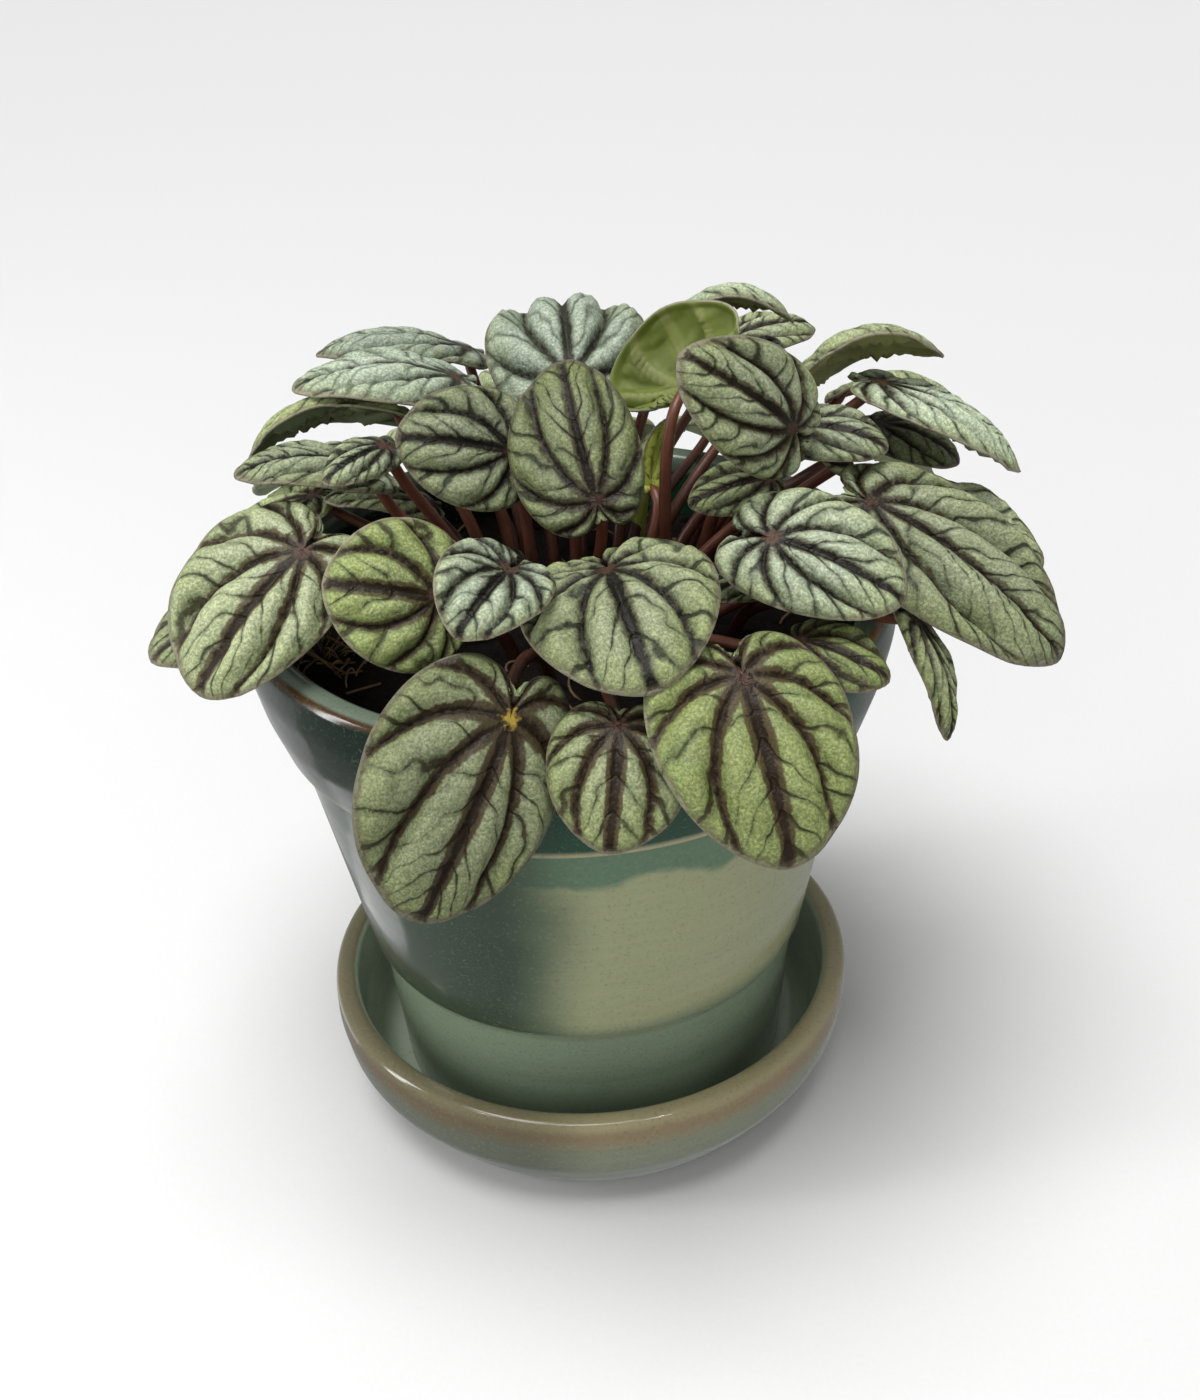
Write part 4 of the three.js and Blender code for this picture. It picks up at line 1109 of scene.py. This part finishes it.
class PEPEROMIA_OT_stage(Operator):
    """Set up the pale floor, the soft light and the camera"""

    bl_idname = "peperomia.stage"
    bl_label = "Stage"

    def execute(self, context):
        scene = context.scene
        settings = scene.peperomia.stage
        bm = bmesh.new()
        bmesh.ops.create_grid(bm, x_segments=1, y_segments=1, size=settings.floor_size / 2)
        mesh = bpy.data.meshes.new("floor")
        bm.to_mesh(mesh)
        bm.free()
        floor = bpy.data.objects.new("floor", mesh)
        scene.collection.objects.link(floor)
        # matt seamless paper, with a grain of 1 mm that hardly shows
        material, node, feed = new_material("matt_paper_floor", {"Roughness": 0.9, "Specular IOR Level": 0.1})
        place = node("TexCoord", output="Object")
        fibre = node("TexNoise", {"Vector": place, "Scale": 900, "Detail": 2}, output=0)
        paper = node("Mix", {0: fibre, 6: linear("cacaca"), 7: linear("cecece")}, data_type="RGBA")
        feed("Base Color", paper)
        mesh.materials.append(material)
        floor.visible_glossy = False

        world = bpy.data.worlds.new("pale_studio")
        world.use_nodes = True
        background = world.node_tree.nodes["Background"]
        background.inputs["Color"].default_value = linear("e7e7e7")
        background.inputs["Strength"].default_value = WORLD_STRENGTH
        scene.world = world

        # a broad, soft light from above
        sun_way = (0.1, 0.08, -1)
        add_lamp("key_sky", "SUN", settings.key_power, sun_way, angle=math.radians(SUN_ANGLE_DEG))
        # a large soft light in front, which opens up the saucer and which the glaze doesn't mirror
        front = add_lamp(
            "front_fill", "AREA", 7, POT_MIDDLE, (-0.2, -1.1, 0.7), shape="RECTANGLE", size=1.4, size_y=0.9
        )
        front.visible_glossy = False
        # a tall window on the left, which gives the glaze its long highlight
        add_lamp(
            "left_window", "AREA", 3, POT_MIDDLE, (-0.8, -0.1, 0.3), shape="RECTANGLE", size=0.12, size_y=0.6
        )
        for name, side, power, place, aim in MIRRORED_LAMPS:
            lamp = add_lamp(name, "AREA", power, aim, place, size=side)
            lamp.visible_diffuse = False
            lamp.visible_camera = False

        camera_data = bpy.data.cameras.new("camera")
        camera_data.lens = CAMERA_LENS
        camera_data.sensor_width = CAMERA_SENSOR
        camera_data.clip_start = 0.01
        camera = bpy.data.objects.new("camera", camera_data)
        pitch = math.pi / 2 + math.radians(CAMERA_PITCH_DEG)
        turn = Matrix.Rotation(math.radians(CAMERA_YAW_DEG), 4, "Z") @ Matrix.Rotation(pitch, 4, "X")
        turn = turn @ Matrix.Rotation(math.radians(CAMERA_ROLL_DEG), 4, "Z")
        camera.matrix_world = Matrix.Translation(CAMERA_PLACE) @ turn
        scene.collection.objects.link(camera)
        scene.camera = camera
        scene.view_settings.view_transform = "Standard"
        return {"FINISHED"}


class PEPEROMIA_PT_panel(Panel):
    """Lists the pieces of the potted plant"""

    bl_idname = "PEPEROMIA_PT_panel"
    bl_label = "Potted peperomia"
    bl_space_type = "VIEW_3D"
    bl_region_type = "UI"
    bl_category = "Peperomia"

    def draw(self, context):
        settings = context.scene.peperomia
        for group, fields in (
            (settings.pot, ("steps", "collar_colour", "wall_colour")),
            (settings.leaf, ("thickness", "ripple", "vein_step", "spokes", "rings")),
            (settings.stage, ("floor_size", "key_power")),
        ):
            for field in fields:
                self.layout.prop(group, field)
        for operator in PIECES:
            self.layout.operator(operator.bl_idname)


PIECES = (
    PEPEROMIA_OT_saucer,
    PEPEROMIA_OT_pot,
    PEPEROMIA_OT_mix,
    PEPEROMIA_OT_crown,
    PEPEROMIA_OT_leaves,
    PEPEROMIA_OT_shoots,
    PEPEROMIA_OT_stage,
)
SETTINGS = (PotSettings, LeafSettings, StageSettings, PeperomiaSettings)


def register():
    for item in SETTINGS + PIECES + (PEPEROMIA_PT_panel,):
        bpy.utils.register_class(item)
    bpy.types.Scene.peperomia = PointerProperty(type=PeperomiaSettings)


def unregister():
    del bpy.types.Scene.peperomia
    for item in reversed(SETTINGS + PIECES + (PEPEROMIA_PT_panel,)):
        bpy.utils.unregister_class(item)


def main():
    register()
    bpy.ops.peperomia.saucer()
    bpy.ops.peperomia.pot()
    bpy.ops.peperomia.mix()
    bpy.ops.peperomia.crown()
    bpy.ops.peperomia.leaves()
    bpy.ops.peperomia.shoots()
    bpy.ops.peperomia.stage()
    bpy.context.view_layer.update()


if __name__ == "__main__":
    main()
